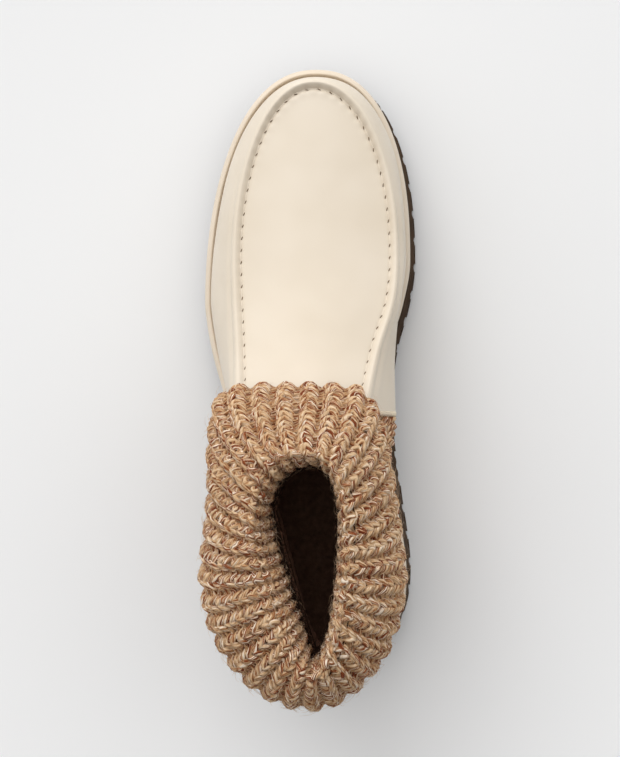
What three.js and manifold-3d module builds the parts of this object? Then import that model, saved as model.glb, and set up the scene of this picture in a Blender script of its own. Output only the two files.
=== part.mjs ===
// Left ankle boot: a leather moccasin vamp with a hand-sewn plug, a rib-knit sock whose top folds
// down as a cuff, a cream rim and a lugged rubber outsole.
// Millimetres. +Y points to the toe, +X to the inner (medial) side, +Z up from the floor.
import * as THREE from 'three';
import { mergeVertices } from 'three/addons/utils/BufferGeometryUtils.js';
import Module from 'manifold-3d';

const wasm = await Module();
wasm.setup();

// Driving dimensions
const GAP = 0.3;
const SEAT = 0.45;
const LEATHER = 2.0;
const KNIT = 3.6;
const RIM_DEPTH = 8.0;
const INSOLE_DEPTH = 3.0;
const INSOLE_INSET = 4.8;
const LUG_DEPTH = 5.0;
const LUG_PITCH = 12.4;
const LUG_LENGTH = 8.4;
const LUG_WIDTH = 13.0;
const LUG_PROUD = 0.8;
const LUG_BITE = 1.0;
const FIRST_LUG = 9;
const LAST_LUG = 12;
const BAR_APART = 5;
const SHORTEST_BAR = 12;
const TOE_SPRING = 8.0;
const SPRING_START = 70;
const ARCH_RISE = 10;
const HEEL_BREAST = -48;
const BREAST_RUN = 5;
const ARCH_END = 12;
const RIB_COUNT = 36;
const RIB_RELIEF = 2.4;
const VAMP_REAR_TOP = -17;
const VAMP_REAR_FOOT = -20;

// Places round or along each piece, enough for smooth curves
const OUTSOLE_STATIONS = 40;
const RIM_STATIONS = 36;
const INSOLE_STATIONS = 28;
const VAMP_STATIONS = 22;
const VAMP_SAMPLES = 10;
const PLUG_STATIONS = 20;
const PLUG_ACROSS = 10;
const FOOT_ROWS = 6;

// Plan of the boot: half outlines at stations along the foot, for the tread, the rim, the feather
// line where the leather meets the rim, the belly of the leather wall and the plug's seam.
const plan = [
  { y: -92, side: 'lateral', tread: -25.0, rim: -24.2, feather: -20.4, belly: -23.0, seam: -24.0 },
  { y: -55, side: 'lateral', tread: -28.0, rim: -27.5, feather: -23.6, belly: -26.5, seam: -24.0 },
  { y: -20, side: 'lateral', tread: -36.5, rim: -36.3, feather: -32.2, belly: -35.0, seam: -24.2 },
  { y: 8, side: 'lateral', tread: -44.4, rim: -44.6, feather: -40.4, belly: -41.8, seam: -25.6 },
  { y: 30, side: 'lateral', tread: -47.8, rim: -48.2, feather: -44.0, belly: -44.3, seam: -27.2 },
  { y: 50, side: 'lateral', tread: -47.6, rim: -48.0, feather: -43.9, belly: -44.2, seam: -28.1 },
  { y: -92, side: 'medial', tread: 45.9, rim: 44.4, feather: 40.6, belly: 43.2, seam: 24.0 },
  { y: -55, side: 'medial', tread: 41.5, rim: 39.2, feather: 36.4, belly: 40.2, seam: 24.0 },
  { y: -20, side: 'medial', tread: 37.5, rim: 35.0, feather: 32.8, belly: 39.6, seam: 24.2 },
  { y: 8, side: 'medial', tread: 39.6, rim: 36.4, feather: 34.2, belly: 39.4, seam: 29.0 },
  { y: 30, side: 'medial', tread: 45.4, rim: 42.8, feather: 39.6, belly: 41.4, seam: 35.6 },
  { y: 50, side: 'medial', tread: 48.1, rim: 46.1, feather: 43.4, belly: 44.2, seam: 37.3 },
];

// Round ends of each outline: the tips, and the bend of the two quarters of the toe. The seam ends
// under the cuff and has no heel.
const tips = {
  tread: { toe: 136.5, heel: -133.0, middle: 2.6 },
  rim: { toe: 136.9, heel: -132.2, middle: 2.6 },
  feather: { toe: 132.0, heel: -128.2, middle: 2.8 },
  belly: { toe: 131.6, heel: -131.0, middle: 2.8 },
  seam: { toe: 124.5, middle: 3.4 },
};
const toeBend = {
  lateral: { from: 30, power: 2.15 },
  medial: { from: 50, power: 2.35 },
};
const SEAM_BEND = { from: 50, power: 2.05 };
const HEEL_BEND = { from: -92, power: 2.3, middle: 10.3 };

// Heights along the foot: bed on which the foot stands, plug seam, and the plug's rise at its middle
const heights = [
  { y: -133, bed: 34.0, seam: 100.0, crown: 7.0 },
  { y: -60, bed: 33.0, seam: 97.0, crown: 7.0 },
  { y: -20, bed: 27.5, seam: 86.0, crown: 7.0 },
  { y: 8, bed: 23.5, seam: 73.0, crown: 6.4 },
  { y: 30, bed: 22.0, seam: 65.0, crown: 5.8 },
  { y: 50, bed: 22.0, seam: 60.0, crown: 5.4 },
  { y: 90, bed: 23.2, seam: 53.6, crown: 4.6 },
  { y: 137, bed: 28.5, seam: 50.0, crown: 2.0 },
];

// The roll of leather along the plug's seam, slightly narrower and higher at the toe
const ROLL = {
  width: 6.0,
  toeWidth: 5.4,
  crest: 0.5,
  toeCrest: 0.56,
  drop: 3.0,
  toeDrop: 2.6,
  rise: 1.4,
  toeRise: 2.0,
  bellyHeight: 0.42,
};

// Rings of the knit's showing face, from the cuff's hem over the fold and down into the shaft:
// reach to the four sides, where the ring is widest, the place of its tips across the foot, the
// heights at its sides and instep, how square its front is, and the bend of its outer rear quarter
const knitRings = [
  {
    lateral: -39.2, medial: 43.2, back: -138, front: -6, widest: -84, middle: 4.4,
    side: 92, instep: 91, square: 1, rear: 1.95,
  },
  {
    lateral: -40.9, medial: 44.7, back: -141, front: -8, widest: -84, middle: 4.4,
    side: 104, instep: 101, square: 1, rear: 1.95,
  },
  {
    lateral: -40.2, medial: 44, back: -140.4, front: -13, widest: -84, middle: 4.4,
    side: 119, instep: 115, square: 0.9, rear: 1.95,
  },
  {
    lateral: -36, medial: 39.8, back: -137, front: -20, widest: -83, middle: 4.6,
    side: 132, instep: 129, square: 0.7, rear: 1.9,
  },
  {
    lateral: -28.6, medial: 32.4, back: -132, front: -27, widest: -80, middle: 5,
    side: 142, instep: 141, square: 0.5, rear: 1.75,
  },
  {
    lateral: -21.6, medial: 25, back: -127, front: -32, widest: -75, middle: 5.8,
    side: 148, instep: 148, square: 0.3, rear: 1.5,
  },
  {
    lateral: -16, medial: 20, back: -122.6, front: -35, widest: -70, middle: 6.6,
    side: 150, instep: 150, square: 0.1, rear: 1.3,
  },
  {
    lateral: -13, medial: 18.6, back: -119.8, front: -38, widest: -65, middle: 7,
    side: 145, instep: 145, square: 0, rear: 1.15,
  },
  {
    lateral: -10.8, medial: 17.8, back: -118, front: -39.4, widest: -62, middle: 7,
    side: 133, instep: 134, square: 0, rear: 1.08,
  },
  {
    lateral: -9.6, medial: 17.6, back: -117, front: -40, widest: -60, middle: 7,
    side: 117, instep: 122, square: 0, rear: 1.05,
  },
];
// Bends of the other quarters of a ring, and how the square front draws in at its sides
const RING = {
  oval: 2.2,
  squareLateral: 11,
  squareMedial: 6,
  rearMedial: 1.97,
  waistLateral: 0.075,
  waistFrom: 0.1,
  waistTo: 0.45,
  leanMedial: 0.25,
};

// The foot of the sock: how far its curves lean back over the instep and spread over the heel's
// bed, how long they hold each direction, and its share of the ribs' relief
const FOOT_CURVE = {
  leanBack: 0.8,
  flatten: 0.5,
  spread: 0.22,
  belowAnkle: 0.3,
  aboveFoot: 0.38,
  leanFrom: -80,
  spreadMiddle: -70,
  spreadAlong: 0.35,
  relief: 0.4,
};

// Side of the outsole above its lugs, with a ledge, and side of the rim, from low to high: how far
// each level lies inside the outline and its share of the height
const SOLE_SIDE = [
  { inset: 1.6, share: 0 },
  { inset: 0.0, share: 0.12 },
  { inset: 0.0, share: 0.62 },
  { inset: 1.4, share: 0.7 },
  { inset: 1.4, share: 1 },
];
const RIM_SIDE = [
  { inset: 1.2, share: 0 },
  { inset: 0.2, share: 0.3 },
  { inset: 0.0, share: 0.6 },
  { inset: 0.5, share: 0.88 },
  { inset: 1.6, share: 1 },
];

// Value of one column at a place between the rows of a table, on a smooth curve through them
function between(rows, key, column, place) {
  const last = rows.length - 1;
  if (place <= rows[0][key]) return rows[0][column];
  if (place >= rows[last][key]) return rows[last][column];
  const next = rows.findIndex((row) => row[key] > place);
  const slope = (at) => {
    if (at === 0 || at === last) return 0;
    return (rows[at + 1][column] - rows[at - 1][column]) / (rows[at + 1][key] - rows[at - 1][key]);
  };
  const run = rows[next][key] - rows[next - 1][key];
  const t = (place - rows[next - 1][key]) / run;
  const fade = t * t * (3 - 2 * t);
  const leave = t * (1 - t) * (1 - t) * run * slope(next - 1);
  const arrive = -t * t * (1 - t) * run * slope(next);
  return rows[next - 1][column] * (1 - fade) + rows[next][column] * fade + leave + arrive;
}

const halfPlan = {
  lateral: plan.filter((row) => row.side === 'lateral'),
  medial: plan.filter((row) => row.side === 'medial'),
};

// Reach to one side of an outline at a place along the foot
function reach(outline, side, y) {
  const rows = halfPlan[side];
  const end = tips[outline];
  const bend = outline === 'seam' ? SEAM_BEND : toeBend[side];
  const round = (wide, middle, share, power) => {
    const rest = Math.max(0, 1 - Math.min(1, share) ** power);
    return middle + (wide - middle) * rest ** (1 / power);
  };
  if (y > bend.from) {
    const share = (y - bend.from) / (end.toe - bend.from);
    return round(between(rows, 'y', outline, bend.from), end.middle, share, bend.power);
  }
  if (y < HEEL_BEND.from && outline !== 'seam') {
    const share = (HEEL_BEND.from - y) / (HEEL_BEND.from - end.heel);
    return round(rows[0][outline], HEEL_BEND.middle, share, HEEL_BEND.power);
  }
  return between(rows, 'y', outline, y);
}

const bedHeight = (y) => between(heights, 'y', 'bed', y);
const seamHeight = (y) => between(heights, 'y', 'seam', y);
const plugCrown = (y) => between(heights, 'y', 'crown', y);

// Underside of the tread: flat at heel and ball, an arch between, and a spring at the toe
function treadHeight(y) {
  if (y > SPRING_START) {
    return TOE_SPRING * ((y - SPRING_START) / (tips.tread.toe - SPRING_START)) ** 2;
  }
  if (y <= HEEL_BREAST || y >= ARCH_END) return 0;
  const foot = HEEL_BREAST + BREAST_RUN;
  if (y < foot) return ARCH_RISE * (y - HEEL_BREAST) / BREAST_RUN;
  return ARCH_RISE * 0.5 * (1 + Math.cos(Math.PI * (y - foot) / (ARCH_END - foot)));
}

// A closed body from its corner places and triangles, with its faces pointing out
function closedBody(places, triangles) {
  let geometry = new THREE.BufferGeometry();
  const flat = places.flatMap((place) => [place.x, place.y, place.z]);
  geometry.setAttribute('position', new THREE.Float32BufferAttribute(flat, 3));
  geometry.setIndex(triangles.flat());
  geometry = mergeVertices(geometry, 1e-3);
  const kept = [];
  const index = geometry.index;
  let volume = 0;
  const [a, b, c] = [new THREE.Vector3(), new THREE.Vector3(), new THREE.Vector3()];
  for (let i = 0; i < index.count; i += 3) {
    const corner = [index.getX(i), index.getX(i + 1), index.getX(i + 2)];
    if (new Set(corner).size < 3) continue;
    [a, b, c].forEach((point, at) => point.fromBufferAttribute(geometry.attributes.position, corner[at]));
    volume += a.dot(b.cross(c));
    kept.push(corner);
  }
  const outward = volume < 0 ? kept.map((corner) => corner.toReversed()) : kept;
  geometry.setIndex(outward.flat());
  geometry.computeVertexNormals();
  return geometry;
}

// A wall between two grids of places with the same rows and columns
function wall(front, back, joined) {
  const rows = front.length;
  const columns = front[0].length;
  const places = [...front.flat(), ...back.flat()];
  const triangles = [];
  const at = (layer, row, column) => layer * rows * columns + row * columns + (column % columns);
  const quad = (p, q, r, s) => triangles.push([p, q, r], [p, r, s]);
  const spans = joined ? columns : columns - 1;
  for (let row = 0; row < rows - 1; row += 1) {
    for (let column = 0; column < spans; column += 1) {
      const side = column + 1;
      quad(at(0, row, column), at(0, row, side), at(0, row + 1, side), at(0, row + 1, column));
      quad(at(1, row, side), at(1, row, column), at(1, row + 1, column), at(1, row + 1, side));
    }
  }
  for (let column = 0; column < spans; column += 1) {
    const side = column + 1;
    const end = rows - 1;
    quad(at(0, 0, side), at(0, 0, column), at(1, 0, column), at(1, 0, side));
    quad(at(0, end, column), at(0, end, side), at(1, end, side), at(1, end, column));
  }
  if (!joined) {
    const end = columns - 1;
    for (let row = 0; row < rows - 1; row += 1) {
      quad(at(0, row, 0), at(0, row + 1, 0), at(1, row + 1, 0), at(1, row, 0));
      quad(at(0, row + 1, end), at(0, row, end), at(1, row, end), at(1, row + 1, end));
    }
  }
  return closedBody(places, triangles);
}

// Direction across a grid's surface at one of its places
function facing(grid, row, column, joined) {
  const rows = grid.length;
  const columns = grid[0].length;
  const down = grid[Math.min(row + 1, rows - 1)][column];
  const up = grid[Math.max(row - 1, 0)][column];
  const next = joined ? (column + 1) % columns : Math.min(column + 1, columns - 1);
  const before = joined ? (column + columns - 1) % columns : Math.max(column - 1, 0);
  const across = new THREE.Vector3().subVectors(grid[row][next], grid[row][before]);
  const along = new THREE.Vector3().subVectors(down, up);
  return across.cross(along).normalize();
}

// The same grid moved along its facing by a thickness
function offsetGrid(grid, distance, joined) {
  return grid.map((line, row) => line.map((place, column) => (
    place.clone().addScaledVector(facing(grid, row, column, joined), distance)
  )));
}

// Stations along an outline, closer together at the toe and heel
function stations(from, to, count) {
  return Array.from({ length: count + 1 }, (_, i) => (
    from + (to - from) * (1 - Math.cos(Math.PI * i / count)) / 2
  ));
}

// Closed ring of an outline: heel tip, medial side, toe tip, lateral side; moved in by an inset
function ring(outline, count, inset, height) {
  const end = tips[outline];
  const along = stations(end.heel, end.toe, count);
  const inner = along.slice(1, -1);
  const side = (name, list) => list.map((y) => new THREE.Vector2(reach(outline, name, y), y));
  const edge = [
    new THREE.Vector2(HEEL_BEND.middle, end.heel),
    ...side('medial', inner),
    new THREE.Vector2(end.middle, end.toe),
    ...side('lateral', inner).reverse(),
  ];
  return edge.map((point, i) => {
    const next = edge[(i + 1) % edge.length];
    const before = edge[(i + edge.length - 1) % edge.length];
    const away = new THREE.Vector2(next.y - before.y, before.x - next.x).normalize();
    const x = point.x - away.x * inset;
    const y = point.y - away.y * inset;
    return new THREE.Vector3(x, y, height(point.y));
  });
}

// A solid through rings from the lowest to the highest, closed by a ladder of faces at each end
function lofted(rings) {
  const size = rings[0].length;
  const half = size / 2;
  const triangles = [];
  rings.slice(1).forEach((_, level) => {
    for (let i = 0; i < size; i += 1) {
      const j = (i + 1) % size;
      const low = level * size;
      triangles.push([low + i, low + j, low + size + j], [low + i, low + size + j, low + size + i]);
    }
  });
  const top = (rings.length - 1) * size;
  for (let i = 0; i < half; i += 1) {
    const left = (size - i) % size;
    const leftNext = size - i - 1;
    const faces = [[i, left, leftNext], [i, leftNext, i + 1]];
    faces.forEach(([p, q, r]) => triangles.push([p, q, r], [top + r, top + q, top + p]));
  }
  return closedBody(rings.flat(), triangles);
}

function asManifold(geometry) {
  const position = new THREE.BufferGeometry();
  position.setAttribute('position', geometry.getAttribute('position'));
  position.setIndex(geometry.index);
  const merged = mergeVertices(position, 1e-4);
  return new wasm.Manifold(new wasm.Mesh({
    numProp: 3,
    vertProperties: Float32Array.from(merged.getAttribute('position').array),
    triVerts: Uint32Array.from(merged.index.array),
  }));
}

function asGeometry(manifold) {
  const mesh = manifold.getMesh();
  const geometry = new THREE.BufferGeometry();
  geometry.setAttribute('position', new THREE.BufferAttribute(mesh.vertProperties, 3));
  geometry.setIndex(new THREE.BufferAttribute(mesh.triVerts, 1));
  geometry.computeVertexNormals();
  return geometry;
}

// A lug: a block between two places along the sole and two reaches across it
function lugBlock(rear, front, corners) {
  const foot = ([x, y]) => new THREE.Vector3(x, y, treadHeight(y));
  const top = ([x, y]) => new THREE.Vector3(x, y, treadHeight(y) + LUG_DEPTH + LUG_BITE);
  const low = corners(rear, front).map(foot);
  const high = corners(rear, front).map(top);
  const places = [...low, ...high];
  const triangles = [[0, 2, 1], [0, 3, 2], [4, 5, 6], [4, 6, 7]];
  for (let i = 0; i < 4; i += 1) {
    const j = (i + 1) % 4;
    triangles.push([i, j, j + 4], [i, j + 4, i + 4]);
  }
  return closedBody(places, triangles);
}

// Lugs along both edges of the tread, and bars across its middle
function lugs() {
  const blocks = [];
  const first = tips.tread.heel + FIRST_LUG;
  const count = Math.floor((tips.tread.toe - LAST_LUG - first) / LUG_PITCH);
  for (let i = 0; i <= count; i += 1) {
    const rear = first + i * LUG_PITCH;
    const front = rear + LUG_LENGTH;
    const overBreast = front > HEEL_BREAST && rear < HEEL_BREAST + BREAST_RUN;
    if (overBreast) continue;
    const edge = (side, y, inset) => {
      const sign = side === 'medial' ? 1 : -1;
      return [reach('tread', side, y) + sign * (LUG_PROUD - inset), y];
    };
    ['lateral', 'medial'].forEach((side) => {
      blocks.push(lugBlock(rear, front, (low, high) => [
        edge(side, low, 0), edge(side, high, 0), edge(side, high, LUG_WIDTH), edge(side, low, LUG_WIDTH),
      ]));
    });
    const inset = LUG_WIDTH + BAR_APART;
    const barLength = (y) => edge('medial', y, inset)[0] - edge('lateral', y, inset)[0];
    if (Math.min(barLength(rear), barLength(front)) < SHORTEST_BAR) continue;
    blocks.push(lugBlock(rear, front, (low, high) => [
      edge('lateral', low, inset), edge('lateral', high, inset),
      edge('medial', high, inset), edge('medial', low, inset),
    ]));
  }
  return blocks;
}

// Rubber outsole: a body with a ledge round its side, standing on its lugs
function outsole() {
  const top = (y) => bedHeight(y) - RIM_DEPTH - GAP;
  const sole = (y) => treadHeight(y) + LUG_DEPTH;
  const rings = SOLE_SIDE.map(({ inset, share }) => (
    ring('tread', OUTSOLE_STATIONS, inset, (y) => sole(y) + (top(y) - sole(y)) * share)
  ));
  let body = asManifold(lofted(rings));
  lugs().forEach((block) => {
    body = body.add(asManifold(block));
  });
  return asGeometry(body);
}

// Cream rim: the midsole, with a round edge and a flat shelf outside the leather
function rim() {
  return lofted(RIM_SIDE.map(({ inset, share }) => (
    ring('rim', RIM_STATIONS, inset, (y) => bedHeight(y) - RIM_DEPTH * (1 - share))
  )));
}

// Insole: a thin board with a soft top, on the rim
function insole() {
  return lofted([GAP, GAP + INSOLE_DEPTH].map((rise) => (
    ring('feather', INSOLE_STATIONS, INSOLE_INSET, (y) => bedHeight(y) + rise)
  )));
}

// Place along one half of the vamp: share 0 at its rear edge, 1 at the toe's tip
function vampStation(outline, side, share) {
  const rear = outline === 'seam' ? VAMP_REAR_TOP : VAMP_REAR_FOOT;
  const end = tips[outline];
  const y = rear + (end.toe - rear) * Math.sin(0.5 * Math.PI * share);
  const x = share === 1 ? end.middle : reach(outline, side, y);
  return new THREE.Vector2(x, y);
}

// Section of the vamp from the feather line up the wall, over the roll and into the seam
function vampSection(side, share, samples) {
  const feather = vampStation('feather', side, share);
  const belly = vampStation('belly', side, share);
  const seam = vampStation('seam', side, share);
  const away = new THREE.Vector2().subVectors(feather, seam).normalize();
  const foot = bedHeight(feather.y) + SEAT;
  const top = seamHeight(seam.y);
  const toToe = THREE.MathUtils.smoothstep(share, 0.45, 0.95);
  const width = THREE.MathUtils.lerp(ROLL.width, ROLL.toeWidth, toToe);
  const crest = THREE.MathUtils.lerp(ROLL.crest, ROLL.toeCrest, toToe);
  const drop = THREE.MathUtils.lerp(ROLL.drop, ROLL.toeDrop, toToe);
  const rise = THREE.MathUtils.lerp(ROLL.rise, ROLL.toeRise, toToe);
  const place = (point, out, z) => new THREE.Vector3(point.x + away.x * out, point.y + away.y * out, z);
  const curve = new THREE.CatmullRomCurve3([
    place(feather, 0, foot),
    place(belly, 0, foot + (top - foot) * ROLL.bellyHeight),
    place(seam, width, top - drop),
    place(seam, width * crest, top + rise),
    place(seam, GAP / 2, top),
  ], false, 'centripetal');
  return curve.getPoints(samples);
}

// Leather vamp: one wall from the lateral rear edge round the toe to the medial rear edge
function vamp() {
  const shares = Array.from({ length: VAMP_STATIONS + 1 }, (_, i) => i / VAMP_STATIONS);
  const lateral = shares.map((share) => vampSection('lateral', share, VAMP_SAMPLES));
  const medial = shares.slice(0, -1).map((share) => vampSection('medial', share, VAMP_SAMPLES)).reverse();
  const outer = [...lateral, ...medial];
  const inner = offsetGrid(outer, LEATHER, false);
  inner.forEach((section, i) => section[0].setZ(outer[i][0].z));
  return wall(outer, inner, false);
}

// Top of the plug at a station and a share across it, -1 lateral to 1 medial
function plugPlace(y, across, depth) {
  const end = tips.seam;
  const tip = y >= end.toe - 1e-6;
  const low = tip ? end.middle : reach('seam', 'lateral', y) + GAP / 2;
  const high = tip ? end.middle : reach('seam', 'medial', y) - GAP / 2;
  const half = (high - low) / 2;
  const full = reach('seam', 'medial', SEAM_BEND.from);
  const rise = plugCrown(y) * Math.min(1, half / full) * (1 - across * across);
  return new THREE.Vector3((low + high) / 2 + half * across, y, seamHeight(y) + rise - depth);
}

// Leather plug: the flat apron inside the seam
function plug() {
  const length = tips.seam.toe - GAP / 2 - VAMP_REAR_TOP;
  const grid = (depth) => Array.from({ length: PLUG_STATIONS + 1 }, (_, i) => {
    const y = VAMP_REAR_TOP + length * Math.sin(0.5 * Math.PI * i / PLUG_STATIONS);
    return Array.from({ length: PLUG_ACROSS + 1 }, (_unused, j) => (
      plugPlace(i === PLUG_STATIONS ? tips.seam.toe : y, 2 * j / PLUG_ACROSS - 1, depth)
    )).map((place) => (i === PLUG_STATIONS ? place.setY(y) : place));
  });
  return wall(grid(0), grid(LEATHER), false);
}

// Places spread evenly by length along a line of places that closes on itself
function spreadEvenly(line, count) {
  const path = new THREE.CurvePath();
  line.forEach((place, i) => path.add(new THREE.LineCurve3(place, line[(i + 1) % line.length])));
  return Array.from({ length: count }, (_, i) => path.getPoint(i / count));
}

// Loop on which the sock's foot ends: along the bed round the heel, then over the instep behind
// the vamp and the plug
function footLoop(count) {
  const bedEdge = (side, steps) => steps.map((y) => (
    new THREE.Vector3(reach('feather', side, y), y, bedHeight(y) + SEAT)
  ));
  const heelSteps = [-126.5, -121, -112, -100, -85, -68, -50, -38, -28];
  const behind = (place) => place.clone().add(new THREE.Vector3(0, -2 * SEAT, 0));
  const rise = (side) => vampSection(side, 0, 6).map(behind);
  const over = [0.7, 0.35, 0, -0.35, -0.7].map((across) => behind(plugPlace(VAMP_REAR_TOP, across, 0)));
  const line = [
    new THREE.Vector3(HEEL_BEND.middle, tips.feather.heel, bedHeight(tips.feather.heel) + SEAT),
    ...bedEdge('medial', heelSteps),
    ...rise('medial'),
    ...over,
    ...rise('lateral').reverse(),
    ...bedEdge('lateral', heelSteps.toReversed()),
  ];
  return spreadEvenly(line, count);
}

// One ring of the knit: squarer in front, and drawn to a tip behind where it lies inside
function knitRing(row, count) {
  const line = Array.from({ length: 8 * count }, (_, i) => {
    const turn = 2 * Math.PI * i / (8 * count) - 0.5 * Math.PI;
    const [cos, sin] = [Math.cos(turn), Math.sin(turn)];
    const medial = cos > 1e-12;
    const ahead = sin > 0;
    const square = medial ? RING.squareMedial : RING.squareLateral;
    const rear = medial ? RING.rearMedial : row.rear;
    const power = ahead ? RING.oval + row.square * (square - RING.oval) : rear;
    const across = Math.abs(cos) ** (2 / power);
    const along = Math.abs(sin) ** (2 / power);
    const waist = THREE.MathUtils.smoothstep(along, RING.waistFrom, RING.waistTo);
    const drawn = medial ? RING.leanMedial * along : RING.waistLateral * waist;
    const width = ahead ? 1 - row.square * drawn : 1;
    const edge = medial ? row.medial : row.lateral;
    const end = ahead ? row.front : row.back;
    return new THREE.Vector3(
      row.middle + (edge - row.middle) * across * width,
      row.widest + (end - row.widest) * along,
      row.side + (ahead ? row.instep - row.side : 0) * along * along,
    );
  });
  return spreadEvenly(line, count);
}

// Rows of the sock's outer face between the ankle and the foot loop, on curves that leave the
// ankle straight down and meet the foot along its own surface
function footRows(ankle, loop) {
  const curves = ankle.map((start, i) => {
    const end = loop[i];
    const span = start.distanceTo(end);
    const rise = (end.z - bedHeight(end.y)) / (seamHeight(end.y) - bedHeight(end.y));
    const lift = Math.min(1, rise);
    const onFoot = THREE.MathUtils.smoothstep(end.y, FOOT_CURVE.leanFrom, VAMP_REAR_TOP);
    const back = new THREE.Vector3(
      0,
      -FOOT_CURVE.leanBack * onFoot,
      1 - FOOT_CURVE.flatten * onFoot * lift,
    );
    const outward = new THREE.Vector3(
      end.x - HEEL_BEND.middle,
      FOOT_CURVE.spreadAlong * (end.y - FOOT_CURVE.spreadMiddle),
      0,
    ).normalize();
    back.addScaledVector(outward, FOOT_CURVE.spread * (1 - lift)).normalize();
    const low = end.clone().addScaledVector(back, FOOT_CURVE.aboveFoot * span);
    const high = start.clone().add(new THREE.Vector3(0, 0, -FOOT_CURVE.belowAnkle * span));
    return new THREE.CubicBezierCurve3(start, high, low, end);
  });
  return Array.from({ length: FOOT_ROWS }, (_, row) => (
    curves.map((curve) => curve.getPoint((row + 1) / FOOT_ROWS))
  ));
}

// Rib-knit sock: foot, shaft and folded cuff are one wall, with its ribs raised
function sock() {
  const count = 2 * RIB_COUNT;
  const showing = knitRings.map((row) => knitRing(row, count));
  const hidden = offsetGrid(showing, -KNIT, true);
  const ankle = hidden[hidden.length - 1];
  const outside = footRows(ankle, footLoop(count));
  const whole = [...hidden, ...outside];
  const inside = offsetGrid(whole, KNIT, true).slice(hidden.length);
  inside.flat().forEach((place) => place.setZ(Math.max(place.z, bedHeight(place.y) + SEAT)));
  const face = [...showing, ...inside];
  const relief = (row) => RIB_RELIEF * (row < knitRings.length ? 1 : FOOT_CURVE.relief);
  const ribbed = (grid) => grid.map((line, row) => line.map((place, column) => {
    const last = row === grid.length - 1;
    const lift = last ? 0 : relief(row) * (column % 2 === 0 ? 0.5 : -0.5);
    return place.clone().addScaledVector(facing(face, row, column, true), lift);
  }));
  return wall(ribbed(face), ribbed(whole), true);
}

const pieces = [
  { name: 'outsole', shape: outsole, colour: 0x2c2019, roughness: 0.75 },
  { name: 'rim', shape: rim, colour: 0xeadfcb, roughness: 0.45 },
  { name: 'insole', shape: insole, colour: 0x241a15, roughness: 0.95 },
  { name: 'vamp', shape: vamp, colour: 0xebdcc6, roughness: 0.3 },
  { name: 'plug', shape: plug, colour: 0xebdcc6, roughness: 0.3 },
  { name: 'sock', shape: sock, colour: 0xb98a63, roughness: 0.95 },
];

const boot = new THREE.Group();
pieces.forEach(({ name, shape, colour, roughness }) => {
  const material = new THREE.MeshStandardMaterial({ color: colour, roughness, metalness: 0 });
  const mesh = new THREE.Mesh(shape(), material);
  mesh.name = name;
  boot.add(mesh);
});

// The origin lies on the floor under the middle of the whole boot
const box = new THREE.Box3().setFromObject(boot);
boot.position.set(-(box.min.x + box.max.x) / 2, -(box.min.y + box.max.y) / 2, -box.min.z);
boot.updateMatrixWorld(true);

export default boot;
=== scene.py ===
# Left ankle boot seen from above: glossy cream leather moccasin vamp and plug, chunky rib-knit cuff
# folded over the shaft, cream rim and dark lugged sole.
import math

import bpy
import numpy as np
from mathutils import Matrix, Vector
from mathutils.kdtree import KDTree


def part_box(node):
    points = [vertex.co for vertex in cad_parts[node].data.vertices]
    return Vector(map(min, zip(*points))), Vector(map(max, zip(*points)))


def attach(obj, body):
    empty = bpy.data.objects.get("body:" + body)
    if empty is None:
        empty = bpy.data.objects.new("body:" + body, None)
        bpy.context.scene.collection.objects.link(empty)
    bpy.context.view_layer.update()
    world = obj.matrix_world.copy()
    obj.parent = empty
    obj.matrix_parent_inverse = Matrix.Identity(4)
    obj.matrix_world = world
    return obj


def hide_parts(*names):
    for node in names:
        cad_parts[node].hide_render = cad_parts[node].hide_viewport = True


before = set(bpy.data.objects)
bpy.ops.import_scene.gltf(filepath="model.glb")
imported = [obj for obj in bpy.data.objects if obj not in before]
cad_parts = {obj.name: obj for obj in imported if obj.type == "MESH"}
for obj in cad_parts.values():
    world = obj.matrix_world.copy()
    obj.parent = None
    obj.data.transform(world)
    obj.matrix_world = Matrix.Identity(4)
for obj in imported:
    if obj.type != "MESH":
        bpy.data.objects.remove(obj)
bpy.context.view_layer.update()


def table(columns, *rows):
    """Rows of values, each by the names of its columns"""
    return [dict(zip(columns.split(), row)) for row in rows]


# Driving sizes in millimetres, in the boot's own frame: +Y to the toe, +X to the inner side
MM = 0.001
UP = np.array([0, 0, 1.0])
GAP = 0.3
SEAT = 0.45
LEATHER = 2.0
KNIT = 3.6
RIM_DEPTH = 8.0
INSOLE_DEPTH = 3.0
TOE_SPRING = 8.0
SPRING_START = 70.0
ARCH_RISE = 10.0
HEEL_BREAST = -48.0
BREAST_RUN = 5.0
ARCH_END = 12.0
VAMP_REAR_TOP = -17.0
VAMP_REAR_FOOT = -20.0

# Plan of the boot: reach to each side at stations along the foot
PLAN_COLUMNS = "y tread rim feather belly seam"
PLAN = {
    "lateral": table(
        PLAN_COLUMNS,
        (-92, -25.0, -24.2, -20.4, -23.0, -24.0),
        (-55, -28.0, -27.5, -23.6, -26.5, -24.0),
        (-20, -36.5, -36.3, -31.6, -33.0, -24.2),
        (8, -44.4, -44.6, -39.4, -39.9, -25.6),
        (30, -47.8, -48.2, -43.3, -43.1, -27.2),
        (50, -47.6, -48.0, -43.2, -43.0, -28.1),
    ),
    "medial": table(
        PLAN_COLUMNS,
        (-92, 45.9, 44.4, 40.6, 43.2, 24.0),
        (-55, 41.5, 39.2, 36.4, 40.2, 24.0),
        (-20, 37.5, 35.0, 32.8, 39.6, 24.2),
        (8, 39.6, 36.4, 34.2, 39.4, 29.0),
        (30, 45.4, 42.8, 39.6, 41.4, 35.6),
        (50, 48.1, 46.1, 43.4, 44.2, 37.3),
    ),
}
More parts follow.
